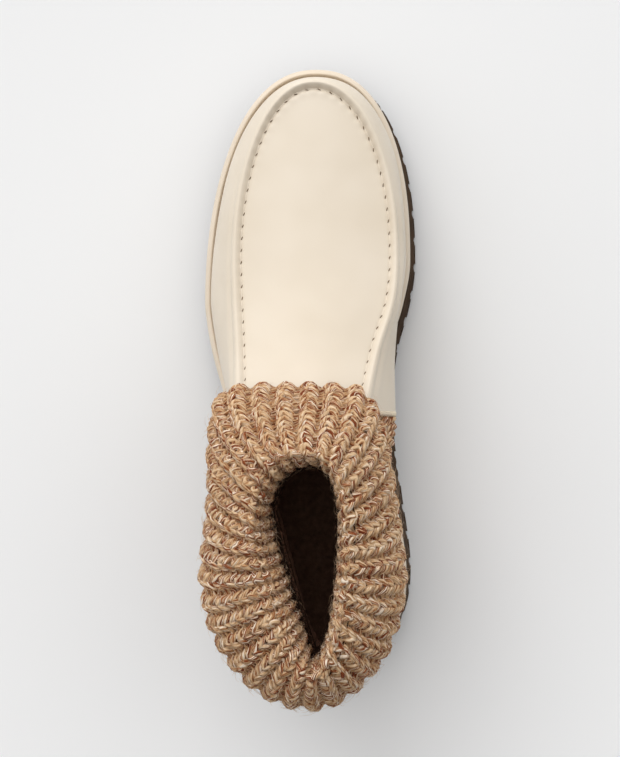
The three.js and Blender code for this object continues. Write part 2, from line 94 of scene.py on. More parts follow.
TIPS = {
    "tread": {"toe": 136.5, "heel": -133.0, "middle": 2.6},
    "rim": {"toe": 136.9, "heel": -132.2, "middle": 2.6},
    "feather": {"toe": 132.0, "heel": -128.2, "middle": 2.8},
    "belly": {"toe": 131.6, "heel": -131.0, "middle": 2.8},
    "seam": {"toe": 124.5, "heel": -60.0, "middle": 3.4},
}
TOE_BEND = {"lateral": {"from": 30, "power": 2.15}, "medial": {"from": 50, "power": 2.35}}
SEAM_BEND = {"from": 50, "power": 2.05}
HEEL_BEND = {"from": -92, "power": 2.3, "middle": 10.3}
BALL_STATIONS = np.linspace(20, 60, 81)

# Heights along the foot: the bed, the plug's seam and the plug's rise at its middle
HEIGHTS = table(
    "y bed seam crown",
    (-133, 34.0, 100.0, 7.0),
    (-60, 33.0, 97.0, 7.0),
    (-20, 27.5, 86.0, 7.0),
    (8, 23.5, 73.0, 6.4),
    (30, 22.0, 65.0, 5.8),
    (50, 22.0, 60.0, 5.4),
    (90, 23.2, 53.6, 4.6),
    (137, 28.5, 50.0, 2.0),
)

# The vamp's roll along the seam, at the rear and at the toe, and its belly's share of the wall
ROLL = {"width": (6.0, 5.4), "crest": (0.5, 0.56), "drop": (3.0, 2.6), "rise": (1.4, 2.0)}
ROLL_TO_TOE = (0.45, 0.95)
BELLY_SHARE = 0.42

# Relief of the leather: puckers at the stitches, larger round the toe, a dip at the seam, a tuck at
# the feather line, a bead round the plug's toe, and slow waves that fade toward the seam
TOE_FROM = 70
TOE_TO = 118
VAMP_PUCKER = {"side": 0.05, "toe": 0.12, "spread": 2.4}
VAMP_DIP = {"side": -0.2, "toe": 0, "spread": 0.8}
VAMP_TUCK = {"height": -0.7, "spread": 1.3}
VAMP_WAVE = {"height": 0.16, "along": 0.11, "start": 1.3, "down": 0.17, "slant": 0.031, "fade": (1, 7)}
PLUG_PUCKER = {"side": 0.05, "toe": 0.13, "spread": 2.2}
PLUG_DIP = {"side": -0.25, "toe": -0.2, "spread": 0.8}
PLUG_BEAD = {"height": 0.15, "inset": 2.0, "spread": 1.6}
PLUG_WAVE = {"height": 0.12, "along": 0.07, "across": 0.09, "start": 0.6, "fade": (2, 12)}

# Soft folds of the leather under the roll, by share of the seam from the lateral rear edge round to
# the medial one: distance down from the seam at both ends, height (a trough below zero) and width
CREASES = table(
    "from to start end height width",
    (0.02, 0.36, 8.2, 6.6, -0.55, 1.7),
    (0.04, 0.24, 12.5, 10.5, 0.25, 2.4),
    (0.70, 1.05, 6.6, 8.4, -0.8, 1.9),
    (0.80, 1.05, 14.0, 17.0, -0.35, 3.0),
)
CREASE_STARTS = (-0.15, 0.15)
CREASE_ENDS = (0.7, 1.0)

# Seam thread, a lens of painted shade for each stitch hole from its rim down, and the rear edges' small
# stitches
STITCH_PITCH = 5.5
THREAD_RADIUS = 0.5
THREAD_SINK = 0.5
THREAD_WAVE = 0.12
THREAD_STEPS = 8
HOLE_LENGTH = 1.8
HOLE_WIDTH = 0.44
HOLE_SIDE = 0.25
HOLE_SLANT = 0.35
HOLE_LAYERS = table("size height", (0.45, 0.1), (1.0, 0.0), (0.7, -0.5))
EDGE_STITCH_PITCH = 1.5
EDGE_STITCH_RADIUS = 0.2
EDGE_STITCH_PATH = table("ahead proud", (1.5, 0.0), (0.7, 0.28), (-0.1, 0.32), (-0.8, 0.05))
THREAD_SIDES = 8
FINE_SIDES = 6

# Rings of the knit's showing face, from the hem over the fold and down into the shaft: their four
# reaches, where they are widest, the tip's place, the heights, and the bend of the front and back
RINGS = table(
    "lateral medial back front widest middle side instep square rear",
    (-39.2, 43.2, -138, -6, -84, 4.4, 92, 91, 1, 1.95),
    (-40.9, 44.7, -141, -8, -84, 4.4, 104, 101, 1, 1.95),
    (-40.2, 44, -140.4, -13, -84, 4.4, 119, 115, 0.9, 1.95),
    (-36, 39.8, -137, -20, -83, 4.6, 132, 129, 0.7, 1.9),
    (-28.6, 32.4, -132, -27, -80, 5, 142, 141, 0.5, 1.75),
    (-21.6, 25, -127, -32, -75, 5.8, 148, 148, 0.3, 1.5),
    (-16, 20, -122.6, -35, -70, 6.6, 150, 150, 0.1, 1.3),
    (-13, 18.6, -119.8, -38, -65, 7, 145, 145, 0, 1.15),
    (-10.8, 17.8, -118, -39.4, -62, 7, 133, 134, 0, 1.08),
    (-9.6, 17.6, -117, -40, -60, 7, 117, 122, 0, 1.05),
)
RIDGE_RING = 6
RING = {
    "oval": 2.2, "square_lateral": 11, "square_medial": 6.0, "rear_medial": 1.97,
    "waist": 0.075, "waist_along": (0.1, 0.45), "lean": 0.25,
}

# The foot of the sock: how far its curves lean back over the instep and spread over the heel's bed,
# how long they hold each direction, and the stations of its lower edge round the heel
FOOT = {
    "lean": 0.8, "lean_from": -80.0, "flatten": 0.5, "below_ankle": 0.3, "above_foot": 0.38,
    "spread": 0.22, "spread_middle": -70.0, "spread_along": 0.35,
}
HEEL_STATIONS = [-126.5, -124, -121, -112, -100, -85, -68, -50, -38, -28]
INSTEP_STATIONS = [0.7, 0.35, 0, -0.35, -0.7]

# The knit: ribs, yarn and loops, and how much the loops vary
RIB_COUNT = 36
RIB_START = 0.25
RIB_RELIEF = 1.3
RIB_SINK = 2.3
RIB_SPREAD = 0.55
YARN_RADIUS = 1.25
YARN_SIDES = 7
PLIES = 3.0
PLY_TWIST = 15.0
ROW_PITCH = 4.6
ROW_FIRST = 0.55
SHAFT_ROWS = 7
LOOP_HEIGHT = 6.2
LOOP_SWAY = 0.36
LOOP_DEPTH = 0.85
LOOP_CROSSING = 0.16
LOOP_STEPS = 18
VARY = {"height": 0.08, "row": 0.3, "column": 0.35, "depth": 0.18, "radius": 0.06, "lay": 40}
FOOT_WALES = 84
FOOT_STEPS = 10
FOOT_ROW_FIRST = 2.2
FOOT_ROW_LAST = 12

# Painted-shade sheet behind the loops, and fleece inside: how far they lie behind the knit's face
SHADE_SHEET_RELIEF = 0.7
SHADE_SHEET_SINK = 3.9
SHADE_SHEET_BACK = 5.8
FOOT_SHADE_SHEET_SINK = 3.2
FOOT_SHADE_SHEET_BACK = 4.8
SHADE_SHEET_ANKLE = 4
FLEECE_SINK = 2.6
FLEECE_SINK_ROWS = 20
FLEECE_OUT = 0.5
FLEECE_BACK = 0.3
FLEECE_ROUGH = 0.22

# Loose fibres on the knit and in the shaft: how they lie and bend
YARN_HAIRS = {"count": 4000, "lengths": (1.5, 4.6), "radius": 0.085}
FLEECE_HAIRS = {"count": 2600, "lengths": (3.0, 6.0), "radius": 0.14, "from": 0.4}
HAIR = {"relief": 1.2, "sink": 1.3, "bend": 0.7, "lift": (0.25, 0.9), "arch": 1.6, "taper": 0.7}
HAIR_SIDES = 3
HAIR_STEPS = 4
HAIR_START = 2
HAIR_END = 3
YARN_SEED = 101
FUZZ_SEED = 23
LINING_SEED = 5

# Sides of the sole, rim and insole from low to high: how far each level lies in from the outline
# and its share of the height, then how their flat faces draw together over the middle line
SOLE_SIDE = [
    (2.2, 0), (1.4, 0.02), (0.3, 0.1), (0.0, 0.16), (0.0, 0.6),
    (0.3, 0.64), (1.2, 0.68), (1.5, 0.72), (1.5, 0.95), (2.0, 1),
]
RIM_SIDE = [
    (1.8, 0), (1.1, 0.03), (0.5, 0.14), (0.15, 0.32), (0.0, 0.50), (0.1, 0.66), (0.4, 0.79), (0.9, 0.89),
    (1.5, 0.96), (2.0, 1), (2.5, 1), (2.9, 0.93), (3.2, 0.76), (3.7, 0.72), (4.6, 0.82), (6.0, 0.86),
]
INSOLE_SIDE = [(5.2, 0), (4.8, 0.2), (4.8, 0.8), (5.4, 1)]
FLAT_SHARES = (0.35, 0.7, 0.97)
FLAT_MIDDLE = {"y": (-125, 130), "x": (10.0, 2.6), "shorten": 0.96}
SOLE_RIB = {"depth": 0.4, "share": 0.55, "reach": 0.3}
GROOVE = {"inset": 3.45, "share": 0.74, "radius": 0.6}

# Lugs: their size and spacing, how far out of the side and up into the sole they stand, and the bars
LUG_DEPTH = 5.0
LUG_PITCH = 12.4
LUG_LENGTH = 8.4
LUG_WIDTH = 13.0
LUG_PROUD = 0.3
LUG_BEVEL = 0.5
LUG_ROOT = 1.0
LUG_STEPS = 4
LUG_FROM_HEEL = 9.0
LUG_FROM_TOE = 12.0
BAR_INSET = 18.0
BAR_LEAST = 12.0

# How finely the pieces are drawn
VAMP_STATIONS = 250
VAMP_SAMPLES = 42
PLUG_ROWS = 230
PLUG_COLUMNS = 80
SEAM_STEP = 0.25
SHARE_STEPS = 400
OUTLINE_STEPS = 200
SOLE_COUNT = 432
RIM_COUNT = 420
INSOLE_COUNT = 240
RIB_COLUMNS = 8
GRID_COLUMNS = RIB_COLUMNS * RIB_COUNT
RING_ROWS = 12
RING_FINE = 8
THIN_CUFF = 2
THIN_FOOT = 3
THIN_LINING = 4
FOOT_ROWS = 90
FOOT_EDGE_STEPS = 12

# Camera and light: the camera's place and aim over the boot, the picture's scale at the rim, a sky
# that is bright on one side, and one soft sun
PHOTO_HEIGHT = 757
PLANE_SCALE = 0.455
SENSOR = 36.0
CAMERA_PLACE = (48.6, -9.1, 975.0)
AIM = (2.0, -4.0, 55.0)
RIM_PLANE = 25.0
FAR_CLIP = 20
FLOOR_SIZE = 60
SKY_DARK = 0.08
SKY_BRIGHT = 1.31
SKY_FROM = (-0.22, 0.9, 0.45)
SKY_EDGE = -0.6
SKY_COLOUR = (1.0, 0.99, 0.98, 1)
SUN = 0.78
SUN_SPREAD = 40
SUN_FROM = (-0.3, 0.95, 0.95)


# Outlines and heights

def between(rows, column, place):
    """Value of a column at a place between the rows, on a smooth curve through them"""
    last = len(rows) - 1
    if place <= rows[0]["y"]:
        return rows[0][column]
    if place >= rows[last]["y"]:
        return rows[last][column]
    nxt = next(i for i, row in enumerate(rows) if row["y"] > place)

    def slope(at):
        if at in (0, last):
            return 0.0
        rise = rows[at + 1][column] - rows[at - 1][column]
        return rise / (rows[at + 1]["y"] - rows[at - 1]["y"])

    run = rows[nxt]["y"] - rows[nxt - 1]["y"]
    t = (place - rows[nxt - 1]["y"]) / run
    fade = t * t * (3 - 2 * t)
    leave = t * (1 - t) ** 2 * run * slope(nxt - 1)
    arrive = -t * t * (1 - t) * run * slope(nxt)
    return rows[nxt - 1][column] * (1 - fade) + rows[nxt][column] * fade + leave + arrive


def reach(outline, side, y):
    """Reach to one side of an outline at a place along the foot"""
    rows = PLAN[side]
    end = TIPS[outline]
    bend = SEAM_BEND if outline == "seam" else TOE_BEND[side]

    def rounded(wide, middle, share, power):
        rest = max(0.0, 1 - min(1.0, share) ** power)
        return middle + (wide - middle) * rest ** (1 / power)

    if y > bend["from"]:
        share = (y - bend["from"]) / (end["toe"] - bend["from"])
        return rounded(between(rows, outline, bend["from"]), end["middle"], share, bend["power"])
    if y < HEEL_BEND["from"] and outline != "seam":
        share = (HEEL_BEND["from"] - y) / (HEEL_BEND["from"] - end["heel"])
        return rounded(rows[0][outline], HEEL_BEND["middle"], share, HEEL_BEND["power"])
    return between(rows, outline, y)


def bed_height(y):
    return between(HEIGHTS, "bed", y)


def seam_height(y):
    return between(HEIGHTS, "seam", y)


def rim_foot(y):
    return bed_height(y) - RIM_DEPTH


def sole_top(y):
    return rim_foot(y) - GAP


def sole_foot(y):
    return tread_height(y) + LUG_DEPTH


def insole_foot(y):
    return bed_height(y) + GAP


def insole_top(y):
    return insole_foot(y) + INSOLE_DEPTH


def tread_height(y):
    """Underside of the lugs: flat at heel and ball, an arch between, a spring at the toe"""
    if y > SPRING_START:
        return TOE_SPRING * ((y - SPRING_START) / (TIPS["tread"]["toe"] - SPRING_START)) ** 2
    if y <= HEEL_BREAST or y >= ARCH_END:
        return 0.0
    foot = HEEL_BREAST + BREAST_RUN
    if y < foot:
        return ARCH_RISE * (y - HEEL_BREAST) / BREAST_RUN
    return ARCH_RISE * 0.5 * (1 + math.cos(math.pi * (y - foot) / (ARCH_END - foot)))


def source_to_frame():
    """Shift from the source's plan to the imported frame, whose origin is under the boot's middle"""
    lateral = min(reach("rim", "lateral", y) for y in BALL_STATIONS)
    low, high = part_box("rim")
    return np.array([low[0] / MM - lateral, high[1] / MM - TIPS["rim"]["toe"], 0.0])


SHIFT = source_to_frame()


def placed(points):
    """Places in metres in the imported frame"""
    return (np.asarray(points, dtype=float) + SHIFT) * MM


# Lines and grids of places

def smoothstep(value, low, high):
    """0 up to the low value, 1 from the high one, and smooth between"""
    t = np.clip((value - low) / (high - low), 0, 1)
    return t * t * (3 - 2 * t)


def bell(distance, spread):
    """1 where the distance is none, and falling away over the spread"""
    return np.exp(-(distance / spread) ** 2)


def unit(vectors):
    """The same directions with a length of 1"""
    return vectors / np.maximum(np.linalg.norm(vectors, axis=-1, keepdims=True), 1e-9)


def turns(count):
    """Angles of even steps round a circle"""
    return 2 * np.pi * np.arange(count) / count


def length_along(line):
    """Length from the start of a line, or of each column of a grid, to each of its places"""
    step = np.linalg.norm(np.diff(line, axis=0), axis=-1)
    return np.concatenate([np.zeros((1, *step.shape[1:])), np.cumsum(step, axis=0)])


def read_line(line, length, at):
    """Places of a line at given lengths along it"""
    return np.stack([np.interp(at, length, values) for values in line.T], axis=-1)


def spread_evenly(line, count):
    """Places spread evenly by length along a closed line"""
    closed = np.array([*line, line[0]])
    length = length_along(closed)
    return read_line(closed, length, np.arange(count) / count * length[-1])


def facing(grid, joined):
    """Unit normals of a grid of places"""
    along = np.gradient(grid, axis=0)
    if joined:
        across = np.roll(grid, -1, axis=1) - np.roll(grid, 1, axis=1)
    else:
        across = np.gradient(grid, axis=1)
    return unit(np.cross(across, along))


def catmull(points, samples):
    """Smooth curve through places, at centripetal steps; points are (count, ..., 3)"""
    points = np.asarray(points, dtype=float)
    ends = np.concatenate([
        [2 * points[0] - points[1]],
        points,
        [2 * points[-1] - points[-2]],
    ])
    count = len(points)
    made = []
    for value in np.linspace(0, count - 1, samples):
        i = min(int(value), count - 2)
        t = value - i
        p0, p1, p2, p3 = ends[i:i + 4]
        d0, d1, d2 = (
            np.maximum(np.linalg.norm(b - a, axis=-1, keepdims=True) ** 0.5, 1e-6)
            for a, b in ((p0, p1), (p1, p2), (p2, p3))
        )
        t1 = ((p1 - p0) / d0 - (p2 - p0) / (d0 + d1) + (p2 - p1) / d1) * d1
        t2 = ((p2 - p1) / d1 - (p3 - p1) / (d1 + d2) + (p3 - p2) / d2) * d1
        cubic = (2 * p1 - 2 * p2 + t1 + t2) * t ** 3
        square = (-3 * p1 + 3 * p2 - 2 * t1 - t2) * t ** 2
        made.append(cubic + square + t1 * t + p1)
    return np.array(made)


def outline_ring(outline, count):
    """Closed plan of an outline, evenly spaced from the heel's tip along the medial side"""
    end = TIPS[outline]
    steps = (1 - np.cos(np.pi * np.arange(1, OUTLINE_STEPS) / OUTLINE_STEPS)) / 2
    along = end["heel"] + (end["toe"] - end["heel"]) * steps
    medial = [(reach(outline, "medial", y), y, 0) for y in along]
    lateral = [(reach(outline, "lateral", y), y, 0) for y in along[::-1]]
    heel = (HEEL_BEND["middle"], end["heel"], 0)
    return spread_evenly([heel, *medial, (end["middle"], end["toe"], 0), *lateral], count)


def ring_away(edge):
    """Plan directions pointing out of a closed ring"""
    step = np.roll(edge, -1, axis=0) - np.roll(edge, 1, axis=0)
    return unit(np.stack([step[:, 1], -step[:, 0], np.zeros(len(edge))], axis=1))


def tube_points(path, radius, normals, sides, closed):
    """Places round a path, (count, sides, 3), with the first side along the given normals"""
    if closed:
        tangent = unit(np.roll(path, -1, axis=0) - np.roll(path, 1, axis=0))
    else:
        tangent = unit(np.gradient(path, axis=0))
    side = unit(np.cross(tangent, normals))
    up = np.cross(side, tangent)
    turn = turns(sides)[None, :, None]
    offsets = up[:, None] * np.cos(turn) + side[:, None] * np.sin(turn)
    return path[:, None] + offsets * np.reshape(radius, (-1, 1, 1))


# Faces and pieces

def grid_faces(rows, columns, joined):
    """Quads of a grid of places, joined round its columns or open"""
    row = np.arange(rows - 1)[:, None]
    column = np.arange(columns if joined else columns - 1)[None, :]
    here = row * columns + column
    side = row * columns + (column + 1) % columns
    return np.stack([here, side, side + columns, here + columns], axis=-1).reshape(-1, 4)


def wall_faces(rows, columns, joined):
    """Quads of a wall between two grids, the second after the first"""
    size = rows * columns
    column = np.arange(columns if joined else columns - 1)
    side = (column + 1) % columns
    end = (rows - 1) * columns
    edges = [(side, column), (end + column, end + side)]
    if not joined:
        first = np.arange(rows - 1) * columns
        last = first + columns - 1
        edges += [(first, first + columns), (last + columns, last)]
    strips = [np.stack([a, b, b + size, a + size], axis=-1) for a, b in edges]
    face = grid_faces(rows, columns, joined)
    return np.concatenate([face, face[:, ::-1] + size, *strips])


def ring_tube_faces(steps, sides):
    """Quads of a tube whose path closes on itself"""
    index = np.arange(steps * sides).reshape(steps, sides)
    ahead = np.roll(index, -1, axis=0)
    quads = [index, np.roll(index, -1, axis=1), np.roll(ahead, -1, axis=1), ahead]
    return np.stack(quads, axis=-1).reshape(-1, 4)


def closed_tube_faces(steps, sides):
    """Faces of an open tube of even sides with flat ends, for places laid round by round"""
    fan = np.array([[i, i + 1, sides - 2 - i, sides - 1 - i] for i in range(sides // 2 - 1)])
    return np.concatenate([grid_faces(steps, sides, True), fan[:, ::-1], fan + (steps - 1) * sides])


def repeated(faces, count, size):
    """Faces of many equal parts of one piece, whose places follow part by part"""
    return (faces[None] + (np.arange(count) * size)[:, None, None]).reshape(-1, faces.shape[1])


def volume(points, faces):
    """Six times the volume of a closed mesh, below zero where its faces point in"""
    total = 0
    for group in faces:
        first, *others = points[group].transpose(1, 0, 2)
        for second, third in zip(others, others[1:]):
            total += np.einsum("ij,ij", first, np.cross(second, third))
    return total


def add_object(name, data):
    """A new object in the scene"""
    made = bpy.data.objects.new(name, data)
    bpy.context.scene.collection.objects.link(made)
    return made


def add_mesh(name, points, faces, look, smooth=True, closed=True):
    """A piece from places in millimetres, groups of faces, and its look: a material and its slot; the
    slot is not used
    """
    mesh = bpy.data.meshes.new(name)
    points = placed(points).reshape(-1, 3)
    sizes = np.concatenate([np.full(len(group), group.shape[1]) for group in faces])
    corners = np.concatenate([group.ravel() for group in faces]).astype(np.int32)
    mesh.vertices.add(len(points))
    mesh.vertices.foreach_set("co", points.astype(np.float32).ravel())
    mesh.loops.add(len(corners))
    mesh.loops.foreach_set("vertex_index", corners)
    mesh.polygons.add(len(sizes))
    mesh.polygons.foreach_set("loop_start", (np.cumsum(sizes) - sizes).astype(np.int32))
    mesh.update(calc_edges=True)
    mesh.validate()
    mesh.polygons.foreach_set("use_smooth", np.full(len(mesh.polygons), smooth))
    if closed and volume(points, faces) < 0:
        mesh.flip_normals()
    material, slot = look
    mesh.materials.append(material)
    piece = add_object(name, mesh)
    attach(piece, "root")
    return piece


def add_wall(name, face, back, joined, look):
    """A piece whose wall lies between two grids of places"""
    return add_mesh(name, [face, back], [wall_faces(*face.shape[:2], joined)], look)


def add_tubes(name, tubes, look, smooth=True):
    """A piece of equal closed tubes, each given round by round"""
    tubes = np.array(tubes)
    count, steps, sides = tubes.shape[:3]
    faces = repeated(closed_tube_faces(steps, sides), count, steps * sides)
    add_mesh(name, tubes, [faces], look, smooth)


def add_values(piece, name, kind, key, values):
    """A value at each of a piece's places, for its material"""
    attribute = piece.data.attributes.new(name, kind, "POINT")
    attribute.data.foreach_set(key, np.asarray(values, dtype=np.float32).ravel())


def flat_rings(row):
    """Rings that draw a level together from its edge to the middle line"""
    middle = np.array([
        np.interp(row[:, 1], FLAT_MIDDLE["y"], FLAT_MIDDLE["x"]),
        row[:, 1] * FLAT_MIDDLE["shorten"],
        row[:, 2],
    ]).T
    return [row * (1 - share) + middle * share for share in FLAT_SHARES]


def profile_solid(name, outline, count, levels, profile, look, ripple=None):
    """Solid between two levels whose side follows an outline; profile gives (inset, share)"""
    edge = outline_ring(outline, count)
    away = ring_away(edge)
    low, high = (np.array([level(y) for y in edge[:, 1]]) for level in levels)
    rows = []
    for inset, share in profile:
        moved = edge - away * inset
        if ripple is not None and inset <= SOLE_RIB["reach"]:
            moved += away * ripple[:, None]
        moved[:, 2] = low + (high - low) * share
        rows.append(moved)
    rows = flat_rings(rows[0])[::-1] + rows + flat_rings(rows[-1])
    left = np.arange(count // 2)
    cap = np.stack([left, (count - left) % count, count - left - 1, left + 1], axis=1)
    top = (len(rows) - 1) * count
    quads = np.concatenate([grid_faces(len(rows), count, True), cap, cap[:, ::-1] + top])
    # The caps' end faces have two corners in one place, so they are triangles
    faces = [
        np.array([face for face in quads if len(set(face)) == 4]),
        np.array([list(dict.fromkeys(face)) for face in quads if len(set(face)) == 3]),
    ]
    return add_mesh(name, rows, faces, look)


# Materials

def srgb(red, green, blue):
    """Linear colour from 8-bit screen values"""
    linear = []
    for value in (red, green, blue):
        share = value / 255
        linear.append(share / 12.92 if share <= 0.04045 else ((share + 0.055) / 1.055) ** 2.4)
    return (*linear, 1.0)


def grey(value):
    return (value, value, value, 1)


class Look:
    """A material or a sky in the making: its nodes and their links"""

    def __init__(self, owner):
        self.owner = owner
        owner.use_nodes = True
        self.nodes = owner.node_tree.nodes
        self.links = owner.node_tree.links
        self.coords = self.nodes.new("ShaderNodeTexCoord").outputs

    def feed(self, node, inputs):
        """Link each input to a socket, or give it its value"""
        for key, value in inputs.items():
            if isinstance(value, bpy.types.NodeSocket):
                self.links.new(value, node.inputs[key])
            else:
                node.inputs[key].default_value = value

    def add(self, kind, inputs):
        node = self.nodes.new(kind)
        self.feed(node, inputs)
        return node

    def noise(self, scale, detail, roughness=0.55, at=None):
        """Noise over the piece's own coordinates, or over the ones given"""
        return self.add("ShaderNodeTexNoise", {
            "Vector": self.coords["Object"] if at is None else at,
            "Scale": scale,
            "Detail": detail,
            "Roughness": roughness,
        }).outputs["Fac"]

    def noise_at(self, x, y, scale, detail, roughness):
        """Noise over a plane whose two coordinates are sockets"""
        place = self.add("ShaderNodeCombineXYZ", {"X": x, "Y": y}).outputs["Vector"]
        return self.noise(scale, detail, roughness, place)

    def ramp(self, value, *stops):
        """Colour of a value between stops, each a position and a colour"""
        node = self.add("ShaderNodeValToRGB", {"Fac": value})
        elements = node.color_ramp.elements
        while len(elements) < len(stops):
            elements.new(0.5)
        for element, (position, colour) in zip(elements, stops):
            element.position = position
            element.color = colour
        return node.outputs["Color"]

    def tones(self, value, low, high, end=0.7):
        """Colour of a value between two screen colours"""
        return self.ramp(value, (0.3, srgb(*low)), (end, srgb(*high)))

    def bump(self, height, strength, distance, before=None):
        inputs = {"Height": height, "Strength": strength, "Distance": distance}
        if before is not None:
            inputs["Normal"] = before
        return self.add("ShaderNodeBump", inputs).outputs["Normal"]

    def maths(self, operation, *values):
        node = self.add("ShaderNodeMath", dict(enumerate(values)))
        node.operation = operation
        return node.outputs[0]

    def mix(self, factor, first, second, blend="MIX"):
        node = self.nodes.new("ShaderNodeMix")
        node.data_type = "RGBA"
        node.blend_type = blend
        self.feed(node, {"Factor": factor, "A": first, "B": second})
        return node.outputs["Result"]

    def read_values(self, name):
        """Sockets of the values that a piece carries at its places"""
        node = self.nodes.new("ShaderNodeAttribute")
        node.attribute_name = name
        return node.outputs

    def finish(self, inputs, last="Principled BSDF"):
        """The finished material or sky, once its last node has its inputs"""
        self.feed(self.nodes[last], inputs)
        return self.owner


def new_look(name):
    """A new material's nodes"""
    return Look(bpy.data.materials.new(name))


def leather_material():
    """Smooth glossy cream leather: faint pores, slow tone changes and a thin finish coat"""
    look = new_look("leather_cream")
    grain = look.noise(700.0, 4.0)
    pores = look.bump(grain, 0.05, 0.0003)
    return look.finish({
        "Base Color": look.tones(look.noise(26.0, 2.0), (220, 207, 187), (228, 216, 198)),
        "Normal": look.bump(look.noise(90.0, 2.0), 0.08, 0.001, pores),
        "Roughness": look.ramp(grain, (0.25, grey(0.42)), (0.8, grey(0.54))),
        "Specular IOR Level": 0.4,
        "Coat Weight": 0.18,
        "Coat Roughness": 0.25,
    })


def rim_material():
    """Cream rubber of the rim: satin, with faint scuffs"""
    look = new_look("rim_cream")
    return look.finish({
        "Base Color": look.tones(look.noise(40.0, 3.0), (224, 209, 188), (232, 218, 199)),
        "Normal": look.bump(look.noise(900.0, 3.0), 0.08, 0.0003),
        "Roughness": 0.42,
    })


def rubber_material():
    """Dark brown rubber of the sole, with a moulded bloom"""
    look = new_look("rubber_brown")
    return look.finish({
        "Base Color": look.tones(look.noise(60.0, 4.0), (60, 44, 30), (82, 62, 43), 0.75),
        "Normal": look.bump(look.noise(1400.0, 3.0), 0.25, 0.0003),
        "Roughness": 0.68,
        "Specular IOR Level": 0.3,
    })


def yarn_material():
    """Marled yarn of three plies that wind slowly round it: two camel, one rust and off-white, with
    painted shade between the plies and in the valleys between the ribs
    """
    look = new_look("knit_marl")
    maths = look.maths
    lay = look.add("ShaderNodeSeparateXYZ", {"Vector": look.read_values("yarn_lay")["Vector"]}).outputs
    turn = maths("DIVIDE", maths("ARCTAN2", lay["Y"], lay["X"]), 2 * math.pi)
    wind = maths("DIVIDE", lay["Z"], PLY_TWIST * MM)
    drift = maths("MULTIPLY", look.noise(90.0, 2.0), 0.9)
    ply = maths("MULTIPLY", maths("ADD", maths("ADD", turn, wind), drift), PLIES)
    which = maths("FRACT", maths("DIVIDE", ply, PLIES))
    within = maths("FRACT", ply)

    def across(scale):
        return maths("MULTIPLY", which, scale)

    def along(scale):
        return maths("MULTIPLY", lay["Z"], scale)

    marl = look.ramp(
        look.noise_at(along(120.0), across(11.0), 1.0, 2.0, 0.6),
        (0.42, srgb(116, 52, 24)),
        (0.49, srgb(158, 90, 48)),
        (0.53, srgb(218, 184, 146)),
        (0.61, srgb(242, 228, 210)),
    )
    camel = look.ramp(
        look.noise_at(across(7.0), along(150.0), 1.0, 3.0, 0.65),
        (0.37, srgb(120, 56, 26)),
        (0.43, srgb(182, 132, 88)),
        (0.50, srgb(214, 180, 140)),
        (0.57, srgb(224, 194, 158)),
        (0.65, srgb(244, 228, 208)),
    )
    # dark is the tone of the painted shade in the crevices between the plies
    white, black, dark = grey(1), grey(0), (0.62, 0.52, 0.45, 1)
    is_marl = look.ramp(which, (0.0, white), (0.28, white), (0.35, black), (0.95, black), (1.0, white))
    # Painted shade: each ply dims toward its edges, in the crevices where the plies meet
    ply_painted_shade = look.ramp(within, (0.0, dark), (0.16, white), (0.84, white), (1.0, dark))
    # Painted shade: the yarn dims in the valleys between the ribs, by the rib share it carries
    rib_painted_shade = look.ramp(
        look.read_values("rib_shade_share")["Fac"],
        (0.0, (0.78, 0.7, 0.62, 1)),
        (0.3, (0.94, 0.9, 0.86, 1)),
        (0.6, white),
    )
    colour = look.mix(is_marl, camel, marl)
    # The marled colour is dimmed by both painted shades
    for painted_darkening in (ply_painted_shade, rib_painted_shade):
        colour = look.mix(1.0, colour, painted_darkening, "MULTIPLY")
    plies = look.bump(maths("SINE", maths("MULTIPLY", within, math.pi)), 0.7, 0.0005)
    fibres = look.noise_at(across(9.0), along(420.0), 3.0, 4.0, 0.7)
    return look.finish({
        "Base Color": colour,
        "Normal": look.bump(fibres, 0.7, 0.0004, plies),
        "Roughness": 0.92,
        "Specular IOR Level": 0.2,
        "Sheen Weight": 0.15,
        "Sheen Roughness": 0.5,
        "Sheen Tint": srgb(232, 205, 180),
    })


def fibre_material(name, low, high):
    """Plain fibrous cloth or fleece between two tones"""
    look = new_look(name)
    fibres = look.noise(420.0, 4.0, 0.7)
    return look.finish({
        "Base Color": look.tones(fibres, low, high),
        "Normal": look.bump(fibres, 0.8, 0.0008),
        "Roughness": 0.95,
        "Specular IOR Level": 0.1,
    })


def floor_material():
    """Pale paper, almost even in tone"""
    look = new_look("floor_pale")
    return look.finish({
        "Base Color": look.tones(look.noise(3.0, 2.0), (243, 244, 245), (244, 245, 246)),
        "Roughness": 0.9,
    })


# Looks: each material with the name of a slot, which no piece here is given
LEATHER_CREAM = (leather_material(), "leather_cream")
RIM_CREAM = (rim_material(), "rim_cream")
RUBBER_BROWN = (rubber_material(), "rubber_brown")
MARL = (yarn_material(), "knit_marl")
# Dark brown painted shade for the shadowed depth behind and between the knit's loops
KNIT_SHADE = (fibre_material("knit_shade_sheet", (48, 30, 20), (80, 52, 34)), "knit_marl")
FLEECE_DARK = (fibre_material("fleece_dark", (112, 80, 64), (142, 106, 86)), "fleece_dark")
FLEECE_HAIR = (fibre_material("fleece_hair", (40, 27, 20), (58, 40, 30)), "fleece_dark")
FIBRE = (fibre_material("knit_fibre", (206, 172, 138), (226, 200, 172)), "knit_marl")
# Pale brown painted shade for the floor of the rim's groove
GROOVE_SHADE = (fibre_material("groove_painted_shade", (188, 166, 138), (212, 192, 166)), "rim_cream")
THREAD_LIGHT = (fibre_material("thread_light", (222, 208, 184), (238, 228, 210)), "leather_cream")
# Dark brown painted shade for the hollows of the stitch holes
HOLE_SHADE = (fibre_material("stitch_hole", (96, 78, 56), (126, 104, 80)), "leather_cream")


# Leather

